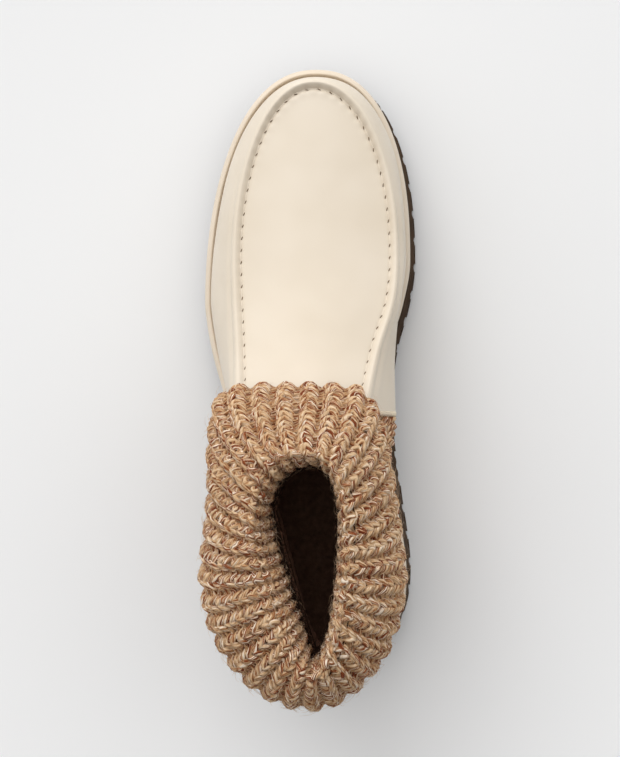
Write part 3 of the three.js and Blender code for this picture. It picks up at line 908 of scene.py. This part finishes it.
def vamp_station(outline, side, share):
    """Place of an outline at a share of the way from the vamp's rear edge to the toe"""
    rear = VAMP_REAR_TOP if outline == "seam" else VAMP_REAR_FOOT
    end = TIPS[outline]
    y = rear + (end["toe"] - rear) * math.sin(0.5 * math.pi * share)
    x = end["middle"] if share >= 1 else reach(outline, side, y)
    return np.array([x, y])


def vamp_controls(side, share):
    """Places of one section of the vamp: feather, belly, roll's edge, roll's crest, seam"""
    feather, belly, seam = (vamp_station(line, side, share) for line in ("feather", "belly", "seam"))
    away = unit(feather - seam)
    foot = bed_height(feather[1]) + SEAT
    top = seam_height(seam[1])
    to_toe = smoothstep(share, *ROLL_TO_TOE)
    width, crest, drop, rise = (rear + (toe - rear) * to_toe for rear, toe in ROLL.values())

    def place(point, out, z):
        return [*(point + away * out), z]

    return [
        place(feather, 0, foot),
        place(belly, 0, foot + (top - foot) * BELLY_SHARE),
        place(seam, width, top - drop),
        place(seam, width * crest, top + rise),
        place(seam, GAP / 2, top),
    ]


def vamp_surface():
    """Outer face of the vamp: stations at even steps of the seam, by samples from feather to seam"""
    fine = np.linspace(0, 1, SHARE_STEPS)
    length = length_along(np.array([vamp_station("seam", "lateral", share) for share in fine]))
    shares = np.interp(np.linspace(0, length[-1], VAMP_STATIONS), length, fine)
    lateral = [vamp_controls("lateral", share) for share in shares]
    medial = [vamp_controls("medial", share) for share in shares[:-1]][::-1]
    controls = np.array(lateral + medial).transpose(1, 0, 2)
    return catmull(controls, VAMP_SAMPLES).transpose(1, 0, 2)


def vamp_normals(surface):
    """Unit normals of the vamp that point out of the boot, so ahead at the toe's wall"""
    normal = facing(surface, False)
    return -normal if normal[len(normal) // 2, VAMP_SAMPLES // 4, 1] < 0 else normal


def toe_share(y):
    """1 round the toe, 0 along the sides"""
    return smoothstep(y, TOE_FROM, TOE_TO)


def seam_relief(pucker, dip, y, along, distance):
    """Height of the puckers and the dip, at lengths along the seam and distances from it"""
    pucker, dip = (
        (shape["side"] + shape["toe"] * toe_share(y)) * bell(distance, shape["spread"])
        for shape in (pucker, dip)
    )
    return pucker * np.cos(2 * np.pi * along / STITCH_PITCH) + dip


def crease_relief(share, down):
    """Height of the soft folds at shares of the seam and distances down from it"""
    relief = np.zeros_like(down)
    for crease in CREASES:
        run = (share - crease["from"]) / (crease["to"] - crease["from"])
        place = crease["start"] + (crease["end"] - crease["start"]) * run
        fade = smoothstep(run, *CREASE_STARTS) * (1 - smoothstep(run, *CREASE_ENDS))
        relief += crease["height"] * fade * bell(down - place, crease["width"])
    return relief


def build_vamp():
    """The vamp's wall with its puckers and folds; returns its plain outer face"""
    surface = vamp_surface()
    normal = vamp_normals(surface)
    along = length_along(surface[:, -1])[:, None]
    climb = length_along(surface.transpose(1, 0, 2)).T
    down = climb[:, -1:] - climb
    waves = VAMP_WAVE["height"] * np.sin(along * VAMP_WAVE["along"] + VAMP_WAVE["start"]) \
        * np.sin(down * VAMP_WAVE["down"] + along * VAMP_WAVE["slant"])
    relief = (
        seam_relief(VAMP_PUCKER, VAMP_DIP, surface[:, -1:, 1], along, down)
        + VAMP_TUCK["height"] * bell(climb, VAMP_TUCK["spread"])
        + crease_relief(along / along[-1], down)
        + waves * smoothstep(down, *VAMP_WAVE["fade"])
    )
    inside = surface - normal * LEATHER
    inside[:, 0, 2] = surface[:, 0, 2]
    face = surface + normal * relief[:, :, None]
    piece = add_wall("vamp_leather", face, inside, False, LEATHER_CREAM)
    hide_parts("vamp")
    return surface


def plug_span(y):
    """Middle and half width of the plug at a place along the foot"""
    low = reach("seam", "lateral", y) + GAP / 2
    high = reach("seam", "medial", y) - GAP / 2
    return (low + high) / 2, (high - low) / 2


def plug_height(x, y):
    """Height of the plug, crowned across the foot and flatter where it is narrow"""
    low = reach("seam", "lateral", y)
    high = reach("seam", "medial", y)
    half = max((high - low) / 2, 1e-3)
    full = reach("seam", "medial", SEAM_BEND["from"])
    across = np.clip((x - (low + high) / 2) / half, -1, 1)
    crown = between(HEIGHTS, "crown", y) * min(1.0, half / full)
    return seam_height(y) + crown * (1 - across * across)


def distance_to_line(places, line, along):
    """Distance in plan from places to a line, and the length along the line at the nearest place"""
    steps = int(along[-1] / SEAM_STEP)
    target = np.linspace(0, along[-1], steps)
    tree = KDTree(steps)
    for i, (x, y) in enumerate(read_line(line[:, :2], along, target)):
        tree.insert((x, y, 0), i)
    tree.balance()
    found = [tree.find((x, y, 0)) for x, y in places]
    return np.array([item[2] for item in found]), target[[item[1] for item in found]]


def build_plug(surface):
    """The plug: rows of places across it from the cuff to the toe, edged by a dip at the seam"""
    toe = TIPS["seam"]["toe"] - GAP / 2
    share = np.sin(0.5 * np.pi * np.linspace(0, 1, PLUG_ROWS))
    across = np.sin(0.5 * np.pi * np.linspace(-1, 1, PLUG_COLUMNS))
    face = np.zeros((PLUG_ROWS, PLUG_COLUMNS, 3))
    for row, y in zip(face, VAMP_REAR_TOP + (toe - VAMP_REAR_TOP) * share):
        middle, half = plug_span(y)
        row[:, 0] = middle + half * across
        row[:, 1] = y
        row[:, 2] = plug_height(row[:, 0], y)
    under = face - UP * LEATHER
    x, y = face[:, :, 0], face[:, :, 1]
    line = surface[:, -1]
    found = distance_to_line(face[:, :, :2].reshape(-1, 2), line, length_along(line))
    distance, length = (values.reshape(x.shape) for values in found)
    bead = PLUG_BEAD["height"] * toe_share(y)
    waves = PLUG_WAVE["height"] * np.sin(y * PLUG_WAVE["along"]) \
        * np.sin(x * PLUG_WAVE["across"] + PLUG_WAVE["start"])
    face[:, :, 2] += (
        seam_relief(PLUG_PUCKER, PLUG_DIP, y, length, distance)
        + bead * bell(distance - PLUG_BEAD["inset"], PLUG_BEAD["spread"])
        + waves * smoothstep(distance, *PLUG_WAVE["fade"])
    )
    piece = add_wall("plug_leather", face, under, False, LEATHER_CREAM)
    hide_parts("plug")


def build_seam_thread(surface):
    """Cream thread lying in the seam, a little higher between the stitches"""
    line = surface[:, -1]
    along = length_along(line)
    steps = int(along[-1] / STITCH_PITCH) * THREAD_STEPS
    length = np.linspace(THREAD_RADIUS, along[-1] - THREAD_RADIUS, steps)
    path = read_line(line, along, length)
    path[:, 2] += THREAD_WAVE * np.cos(2 * np.pi * length / STITCH_PITCH) - THREAD_SINK
    tube = tube_points(path, THREAD_RADIUS, UP, THREAD_SIDES, False)
    add_tubes("seam_thread", [tube], LEATHER_CREAM)


def build_stitch_holes(surface):
    """Small slanted lenses of painted shade beside the seam, standing for the hollow where each stitch
    goes in
    """
    line = surface[:, -1]
    along = length_along(line)
    turn = turns(THREAD_SIDES)[:, None]
    holes = []
    for middle in np.arange(1, int(along[-1] / STITCH_PITCH)) + 0.5:
        place, ahead = read_line(line, along, np.array([middle, middle + 0.1]) * STITCH_PITCH)
        tangent = unit(ahead - place)
        cross = np.cross(tangent, UP)
        slant = unit(tangent + HOLE_SLANT * cross)
        oval = slant * (HOLE_LENGTH / 2 * np.cos(turn))
        oval = oval + np.cross(slant, UP) * (HOLE_WIDTH / 2 * np.sin(turn))
        centre = place + cross * HOLE_SIDE
        holes.append([centre + UP * layer["height"] + oval * layer["size"] for layer in HOLE_LAYERS])
    add_tubes("stitch_holes", holes, HOLE_SHADE)


def build_edge_stitches(surface):
    """Short light stitches over the vamp's two rear edges, where the leather meets the sock"""
    normal = vamp_normals(surface)
    tubes = []
    for edge, inner in ((0, 2), (-1, -3)):
        line = surface[edge]
        length = length_along(line)
        ahead = unit(surface[inner] - line)
        for place in np.arange(EDGE_STITCH_PITCH, length[-1] - EDGE_STITCH_PITCH, EDGE_STITCH_PITCH):
            base, forward, out = (read_line(at, length, place) for at in (line, ahead, normal[edge]))
            path = [base + forward * step["ahead"] + out * step["proud"] for step in EDGE_STITCH_PATH]
            tubes.append(tube_points(np.array(path), EDGE_STITCH_RADIUS, out, FINE_SIDES, False))
    add_tubes("edge_stitches", tubes, THREAD_LIGHT)


# Knit surfaces

def knit_ring(row, count):
    """One ring of the knit: squarer in front, and drawn to a tip behind where it is inside"""
    turn = turns(RING_FINE * count) - 0.5 * np.pi
    cos, sin = np.cos(turn), np.sin(turn)
    medial = cos > 1e-12
    ahead = sin > 0
    square = np.where(medial, RING["square_medial"], RING["square_lateral"])
    front = RING["oval"] + row["square"] * (square - RING["oval"])
    power = np.where(ahead, front, np.where(medial, RING["rear_medial"], row["rear"]))
    across = np.abs(cos) ** (2 / power)
    along = np.abs(sin) ** (2 / power)
    waist = RING["waist"] * smoothstep(along, *RING["waist_along"])
    lean = 1 - np.where(ahead, row["square"], 0) * np.where(medial, RING["lean"] * along, waist)
    edge = np.where(medial, row["medial"], row["lateral"])
    end = np.where(ahead, row["front"], row["back"])
    x = row["middle"] + (edge - row["middle"]) * across * lean
    y = row["widest"] + (end - row["widest"]) * along
    z = row["side"] + np.where(ahead, row["instep"] - row["side"], 0) * along ** 2
    return spread_evenly(np.stack([x, y, z], axis=1), count)


def resample_rows(grid):
    """Rows of a grid respaced to even lengths of about 1 mm along each of its columns"""
    length = length_along(grid)
    rows = int(round(length[-1].mean())) + 1
    columns = [
        read_line(grid[:, column], length[:, column], np.linspace(0, length[-1, column], rows))
        for column in range(grid.shape[1])
    ]
    return np.stack(columns, axis=1)


def cuff_surface():
    """Showing face of the cuff and shaft at about 1 mm steps, and the row of its ridge"""
    rings = [knit_ring(row, GRID_COLUMNS) for row in RINGS]
    fine = catmull(rings, RING_ROWS * (len(RINGS) - 1) + 1)
    split = RING_ROWS * RIDGE_RING
    outer = resample_rows(fine[:split + 1])
    inner = resample_rows(fine[split:])
    return np.concatenate([outer, inner[1:]]), len(outer) - 1


def foot_loop(count):
    """Loop on which the sock's foot ends: round the heel's bed and over the instep"""
    behind = np.array([0, -2 * SEAT, 0])
    heel = TIPS["feather"]["heel"]
    middle, half = plug_span(VAMP_REAR_TOP)

    def side_edge(side):
        bed = [(reach("feather", side, y), y, bed_height(y) + SEAT) for y in HEEL_STATIONS]
        return [*bed, *(catmull(vamp_controls(side, 0), FOOT_EDGE_STEPS) + behind)]

    def instep_place(x):
        return behind + (x, VAMP_REAR_TOP, plug_height(x, VAMP_REAR_TOP))

    return spread_evenly([
        (HEEL_BEND["middle"], heel, bed_height(heel) + SEAT),
        *side_edge("medial"),
        *(instep_place(middle + half * across) for across in INSTEP_STATIONS),
        *side_edge("lateral")[::-1],
    ], count)


def foot_surface(ankle):
    """Outer face of the sock on curves from the ankle down to the foot loop"""
    t = np.linspace(0, 1, FOOT_ROWS)[:, None]
    columns = []
    for start, end in zip(ankle, foot_loop(len(ankle))):
        span = np.linalg.norm(end - start)
        bed = bed_height(end[1])
        lift = min(1.0, (end[2] - bed) / (seam_height(end[1]) - bed))
        on_foot = smoothstep(end[1], FOOT["lean_from"], VAMP_REAR_TOP)
        along = FOOT["spread_along"] * (end[1] - FOOT["spread_middle"])
        out = unit(np.array([end[0] - HEEL_BEND["middle"], along, 0]))
        back = np.array([0, -FOOT["lean"] * on_foot, 1 - FOOT["flatten"] * on_foot * lift])
        back = unit(back + FOOT["spread"] * (1 - lift) * out)
        low = end + back * FOOT["above_foot"] * span
        high = start - UP * FOOT["below_ankle"] * span
        columns.append((1 - t) ** 3 * start + 3 * (1 - t) ** 2 * t * high
                       + 3 * (1 - t) * t ** 2 * low + t ** 3 * end)
    return np.stack(columns, axis=1)


def sample_grid(grid, row, column):
    """Values of a grid that is joined round its columns, between its places"""
    rows, columns = grid.shape[:2]
    row = np.clip(row, 0, rows - 1.001)
    r0 = row.astype(int)
    c0 = np.floor(column).astype(int)
    fr = (row - r0)[:, None]
    fc = (column - c0)[:, None]
    a, b = c0 % columns, (c0 + 1) % columns
    top = grid[r0, a] * (1 - fc) + grid[r0, b] * fc
    low = grid[r0 + 1, a] * (1 - fc) + grid[r0 + 1, b] * fc
    return top * (1 - fr) + low * fr


def rib_wave(rib):
    """1 on a rib and -1 between two, at places counted in ribs"""
    return np.cos(2 * np.pi * (rib - RIB_START))


def row_step(grid):
    """Mean distance between the rows of a grid"""
    return np.linalg.norm(np.diff(grid, axis=0), axis=2).mean()


def above_bed(sheet, gap):
    """A sheet kept from sinking into the bed"""
    floor = np.array([[bed_height(y) + gap for y in row] for row in sheet[:, :, 1]])
    sheet[:, :, 2] = np.maximum(sheet[:, :, 2], floor)
    return sheet


# Knit pieces

def knit_rows(name, grid, normals, courses, wales, loop_steps, rows_per_mm):
    """Courses of looped yarn laid on a surface, one closed yarn each, rib by rib.
    courses holds the grid row of each course."""
    steps = wales * loop_steps
    place = np.arange(steps) / loop_steps
    wale = np.floor(place).astype(int)
    t = place - wale
    knit = np.where(wale % 2 == 0, 1.0, -1.0)
    rib = (place + LOOP_SWAY * np.sin(4 * np.pi * t)) / 2
    rib = rib + RIB_SPREAD / (2 * np.pi) * np.sin(2 * np.pi * (rib - RIB_START))
    column = rib / (wales / 2) * grid.shape[1]
    front = smoothstep(np.minimum(t, 1 - t), 0.0, LOOP_CROSSING)
    depth = -knit * front * LOOP_DEPTH * np.cos(4 * np.pi * t)
    rise = -0.5 * LOOP_HEIGHT * np.cos(2 * np.pi * t)
    wave = rib_wave(rib)
    turn = turns(YARN_SIDES)[None, :]
    rng = np.random.default_rng(len(name) * YARN_SEED + wales)
    points, lays = [], []
    for course in courses:
        height, shift, drift, press = (
            np.interp(place, np.arange(wales + 1), np.append(values, values[0]))
            for values in rng.normal(0, 1, (4, wales))
        )
        row = course + rows_per_mm * (rise * (1 + VARY["height"] * height) + VARY["row"] * shift)
        col = column + VARY["column"] * drift
        normal = unit(sample_grid(normals, row, col))
        proud = RIB_RELIEF * wave + depth - RIB_SINK + VARY["depth"] * press
        path = sample_grid(grid, row, col) + normal * proud[:, None]
        radius = YARN_RADIUS * (1 + VARY["radius"] * shift)
        length = length_along(path) + rng.uniform(0, VARY["lay"])
        points.append(tube_points(path, radius, normal, YARN_SIDES, True))
        lay = np.broadcast_arrays(np.cos(turn), np.sin(turn), length[:, None] * MM)
        lays.append(np.stack(lay, axis=-1))
    faces = repeated(ring_tube_faces(steps, YARN_SIDES), len(courses), steps * YARN_SIDES)
    piece = add_mesh(name, points, [faces], MARL)
    # Rib share at each yarn place, 0 in the valleys and 1 on the ridges, for the yarn's painted rib
    # shade
    share = np.tile(np.repeat(0.5 + 0.5 * wave, YARN_SIDES), len(courses))
    add_values(piece, "yarn_lay", "FLOAT_VECTOR", "vector", lays)
    add_values(piece, "rib_shade_share", "FLOAT", "value", share)


def knit_pieces(names, grid, normals, courses, wales, loop_steps, rows_per_mm):
    """Courses shared out over pieces, so that none grows too large"""
    share = math.ceil(len(courses) / len(names))
    for i, name in enumerate(names):
        chosen = courses[i * share:(i + 1) * share]
        knit_rows(name, grid, normals, chosen, wales, loop_steps, rows_per_mm)


def build_shade_sheet(surface, normal, foot, foot_away):
    """Sheet of dark painted shade behind the loops, one wall with soft ribs from the hem down to the bed
    """
    rib = rib_wave(np.arange(GRID_COLUMNS) / RIB_COLUMNS)
    face = surface + normal * (SHADE_SHEET_RELIEF * rib[None, :, None] - SHADE_SHEET_SINK)
    back = surface - normal * SHADE_SHEET_BACK
    foot_face = above_bed(foot - foot_away * FOOT_SHADE_SHEET_SINK, SEAT)
    foot_back = above_bed(foot - foot_away * FOOT_SHADE_SHEET_BACK, SEAT)
    shown, hidden = (
        np.concatenate([cuff[::THIN_CUFF], below[SHADE_SHEET_ANKLE::THIN_FOOT]])[:, ::THIN_CUFF]
        for cuff, below in ((face, foot_back), (back, foot_face))
    )
    # Its dark brown is painted shade for the depth behind the loops
    piece = add_wall("knit_shade_sheet", shown, hidden, True, KNIT_SHADE)
    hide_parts("sock")


def build_cuff_yarn(surface, normal, ridge):
    """Yarn of the cuff and shaft, in whole courses from the hem to the ridge and on inside"""
    step = row_step(surface[:ridge + 1])
    cuff_rows = int(ridge * step / ROW_PITCH)
    courses = (ROW_FIRST + np.arange(cuff_rows + SHAFT_ROWS)) * ridge / (cuff_rows + 0.5)
    names = ["cuff_yarn_hem", "cuff_yarn_middle", "cuff_yarn_fold", "shaft_yarn"]
    knit_pieces(names, surface, normal, courses, 2 * RIB_COUNT, LOOP_STEPS, 1 / step)


def build_foot_yarn(foot, foot_away):
    """Yarn of the sock's foot, in finer ribs; its loops grow up toward the ankle"""
    step = row_step(foot)
    courses = np.arange(FOOT_ROW_FIRST / step, len(foot) - FOOT_ROW_LAST, ROW_PITCH / step)
    names = ["foot_yarn_low", "foot_yarn_high"]
    knit_pieces(names, foot[::-1], foot_away[::-1], courses, FOOT_WALES, FOOT_STEPS, 1 / step)


def build_hairs(name, surface, normal, row, hairs, look, rng):
    """Loose fibres that stand off the knit, each a bent three-sided hair"""
    count = len(row)
    column = rng.uniform(0, GRID_COLUMNS, count)
    up = unit(sample_grid(normal, row, column))
    proud = HAIR["relief"] * rib_wave(column / RIB_COLUMNS) - HAIR["sink"]
    root = sample_grid(surface, row, column) + up * proud[:, None]
    lean = rng.normal(0, 1, (count, 3))
    lean = unit(lean - up * np.einsum("ij,ij->i", lean, up)[:, None])
    curl = np.cross(up, lean)
    root, up, lean, curl = (values[:, None] for values in (root, up, lean, curl))
    length = rng.uniform(*hairs["lengths"], (count, 1, 1))
    bend = rng.normal(0, HAIR["bend"], (count, 1, 1)) * length
    lift = rng.uniform(*HAIR["lift"], (count, 1, 1)) * length
    t = np.linspace(0, 1, HAIR_STEPS)[:, None]
    path = root + lean * (t * length) + up * (t * (HAIR["arch"] - t) * lift) + curl * (t * t * bend)
    turn = turns(HAIR_SIDES)[:, None]
    offset = np.cos(turn) * curl[:, :, None] + np.sin(turn) * up[:, :, None]
    thick = hairs["radius"] * (1 - HAIR["taper"] * t[:, :, None])
    faces = repeated(grid_faces(HAIR_STEPS, HAIR_SIDES, True), count, HAIR_STEPS * HAIR_SIDES)
    add_mesh(name, path[:, :, None] + offset * thick, [faces], look, closed=False)


def build_fuzz(surface, normal, ridge):
    """Fibres all over the cuff, and longer dark ones inside that lie thicker lower down"""
    rng = np.random.default_rng(FUZZ_SEED)
    last = len(surface) - HAIR_END
    rows = rng.uniform(HAIR_START, last, YARN_HAIRS["count"])
    build_hairs("knit_fuzz", surface, normal, rows, YARN_HAIRS, FIBRE, rng)
    share = rng.uniform(FLEECE_HAIRS["from"], 1, FLEECE_HAIRS["count"]) ** 0.5
    rows = ridge + (last - ridge) * share
    build_hairs("fleece_fuzz", surface, normal, rows, FLEECE_HAIRS, FLEECE_HAIR, rng)


def build_lining(foot, foot_away):
    """Dark fleece inside the boot: a thin lining from the ankle down to the bed"""
    sink = KNIT + FLEECE_SINK * smoothstep(np.arange(len(foot)), 0, FLEECE_SINK_ROWS)
    sheet = above_bed((foot - foot_away * sink[:, None, None])[::THIN_LINING], SEAT + FLEECE_OUT)
    normal = facing(sheet, True)
    fuzz = FLEECE_OUT + np.random.default_rng(LINING_SEED).normal(0, FLEECE_ROUGH, sheet.shape[:2])
    face = sheet + normal * fuzz[:, :, None]
    add_wall("fleece_lining", face, sheet - normal * FLEECE_BACK, True, FLEECE_DARK)


def build_knit():
    """The sock: a sheet of painted shade behind the loops, yarn, loose fibres and lining"""
    surface, ridge = cuff_surface()
    normal = facing(surface, True)
    foot = foot_surface((surface - normal * KNIT)[-1])
    foot_away = -facing(foot, True)
    build_shade_sheet(surface, normal, foot, foot_away)
    build_cuff_yarn(surface, normal, ridge)
    build_foot_yarn(foot, foot_away)
    build_fuzz(surface, normal, ridge)
    build_lining(foot, foot_away)


# Sole

def build_sole():
    """Body of the outsole, with a ledge and fine upright ribs round its side"""
    around = length_along(outline_ring("tread", SOLE_COUNT))
    proud = (around / (LUG_PITCH / 2)) % 1 < SOLE_RIB["share"]
    ripple = np.where(proud, 0.0, -SOLE_RIB["depth"])
    levels = (sole_foot, sole_top)
    piece = profile_solid("sole_body", "tread", SOLE_COUNT, levels, SOLE_SIDE, RUBBER_BROWN, ripple)
    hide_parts("outsole")


def tread_place(side, y, inset):
    """Place on the lugs' edge, or in from it"""
    sign = 1 if side == "medial" else -1
    return reach("tread", side, y) + sign * (LUG_PROUD - inset), y


def lug_block(outline):
    """Places of a lug from its bevelled face up into the sole, round an outline in plan"""
    outline = np.array(outline)
    away = unit(outline - outline.mean(axis=0))
    tread = np.array([tread_height(y) for y in outline[:, 1]])
    layers = ((0.0, LUG_BEVEL), (LUG_BEVEL, 0.0), (LUG_DEPTH + LUG_ROOT, 0.0))
    return [np.column_stack([outline - away * inset, tread + z]) for z, inset in layers]


def build_lugs():
    """Blocks along both edges of the tread and bars across it, with bevelled edges"""
    first = TIPS["tread"]["heel"] + LUG_FROM_HEEL
    count = int((TIPS["tread"]["toe"] - LUG_FROM_TOE - first) / LUG_PITCH) + 1
    blocks = []
    for low in first + np.arange(count) * LUG_PITCH:
        high = low + LUG_LENGTH
        if high > HEEL_BREAST and low < HEEL_BREAST + BREAST_RUN:
            continue
        ahead = np.linspace(low, high, LUG_STEPS)

        def edges(start, start_inset, end, end_inset):
            return [tread_place(start, y, start_inset) for y in ahead] \
                + [tread_place(end, y, end_inset) for y in ahead[::-1]]

        for side in ("lateral", "medial"):
            blocks.append(lug_block(edges(side, 0, side, LUG_WIDTH)))
        bar = edges("lateral", BAR_INSET, "medial", BAR_INSET)
        middle = len(bar) // 2
        widths = (bar[-1][0] - bar[0][0], bar[middle][0] - bar[middle - 1][0])
        if min(widths) >= BAR_LEAST:
            blocks.append(lug_block(bar))
    add_tubes("sole_lugs", blocks, RUBBER_BROWN, smooth=False)


def build_rim():
    """Cream rim with a rounded edge and a groove, along which a thin pale brown tube lies as painted
    shade
    """
    levels = (rim_foot, bed_height)
    piece = profile_solid("rim_rubber", "rim", RIM_COUNT, levels, RIM_SIDE, RIM_CREAM)
    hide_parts("rim")
    # A thin tube along the groove's floor: painted shade where the groove falls in shadow
    line = outline_ring("rim", RIM_COUNT)
    line -= ring_away(line) * GROOVE["inset"]
    line[:, 2] = [rim_foot(y) + RIM_DEPTH * GROOVE["share"] for y in line[:, 1]]
    tube = tube_points(line, GROOVE["radius"], UP, FINE_SIDES, True)
    faces = ring_tube_faces(RIM_COUNT, FINE_SIDES)
    add_mesh("rim_groove_line", tube, [faces], GROOVE_SHADE)


def build_insole():
    """Insole with its fleece top, rounded at the edge"""
    levels = (insole_foot, insole_top)
    piece = profile_solid("insole_fleece", "feather", INSOLE_COUNT, levels, INSOLE_SIDE, FLEECE_DARK)
    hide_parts("insole")


# Stage

def build_camera():
    """Camera high over the boot's inner side, turned to the boot"""
    camera = bpy.data.cameras.new("camera")
    camera.sensor_width = SENSOR
    camera.lens = SENSOR * (CAMERA_PLACE[2] - RIM_PLANE) / (PHOTO_HEIGHT * PLANE_SCALE)
    camera.clip_end = FAR_CLIP
    holder = add_object("camera", camera)
    place = Vector(placed(CAMERA_PLACE))
    back = (place - Vector(placed(AIM))).normalized()
    right = Vector((0, 1, 0)).cross(back).normalized()
    turn = Matrix((right, back.cross(right), back)).transposed().to_4x4()
    holder.matrix_world = Matrix.Translation(place) @ turn
    bpy.context.scene.camera = holder


def build_sky():
    """Studio walls that are brightest on the toe's lateral side and dark behind the heel"""
    sky = Look(bpy.data.worlds.new("studio"))
    way = Vector(SKY_FROM).normalized()
    toward = sky.add("ShaderNodeVectorMath", {0: sky.coords["Generated"], 1: way})
    toward.operation = "DOT_PRODUCT"
    glow = sky.add("ShaderNodeMapRange", {
        "Value": toward.outputs["Value"],
        "From Min": SKY_EDGE,
        "To Min": SKY_DARK,
        "To Max": SKY_BRIGHT,
    })
    glow.interpolation_type = "SMOOTHSTEP"
    light = {"Strength": glow.outputs["Result"], "Color": SKY_COLOUR}
    bpy.context.scene.world = sky.finish(light, "Background")


def build_floor():
    """Plain pale floor"""
    bpy.ops.mesh.primitive_plane_add(size=FLOOR_SIZE, location=(0, 0, 0))
    floor = bpy.context.object
    floor.name = "floor"
    floor.data.materials.append(floor_material())


def build_sun():
    """One soft light from the toe's side"""
    sun = bpy.data.lights.new("key", "SUN")
    sun.energy = SUN
    sun.angle = math.radians(SUN_SPREAD)
    holder = add_object("key", sun)
    holder.rotation_euler = Vector(SUN_FROM).to_track_quat("Z", "Y").to_euler()


build_camera()
leather = build_vamp()
build_plug(leather)
build_seam_thread(leather)
build_stitch_holes(leather)
build_edge_stitches(leather)
build_knit()
build_sole()
build_lugs()
build_rim()
build_insole()
build_sky()
build_floor()
build_sun()

bpy.context.scene.view_settings.view_transform = "Standard"
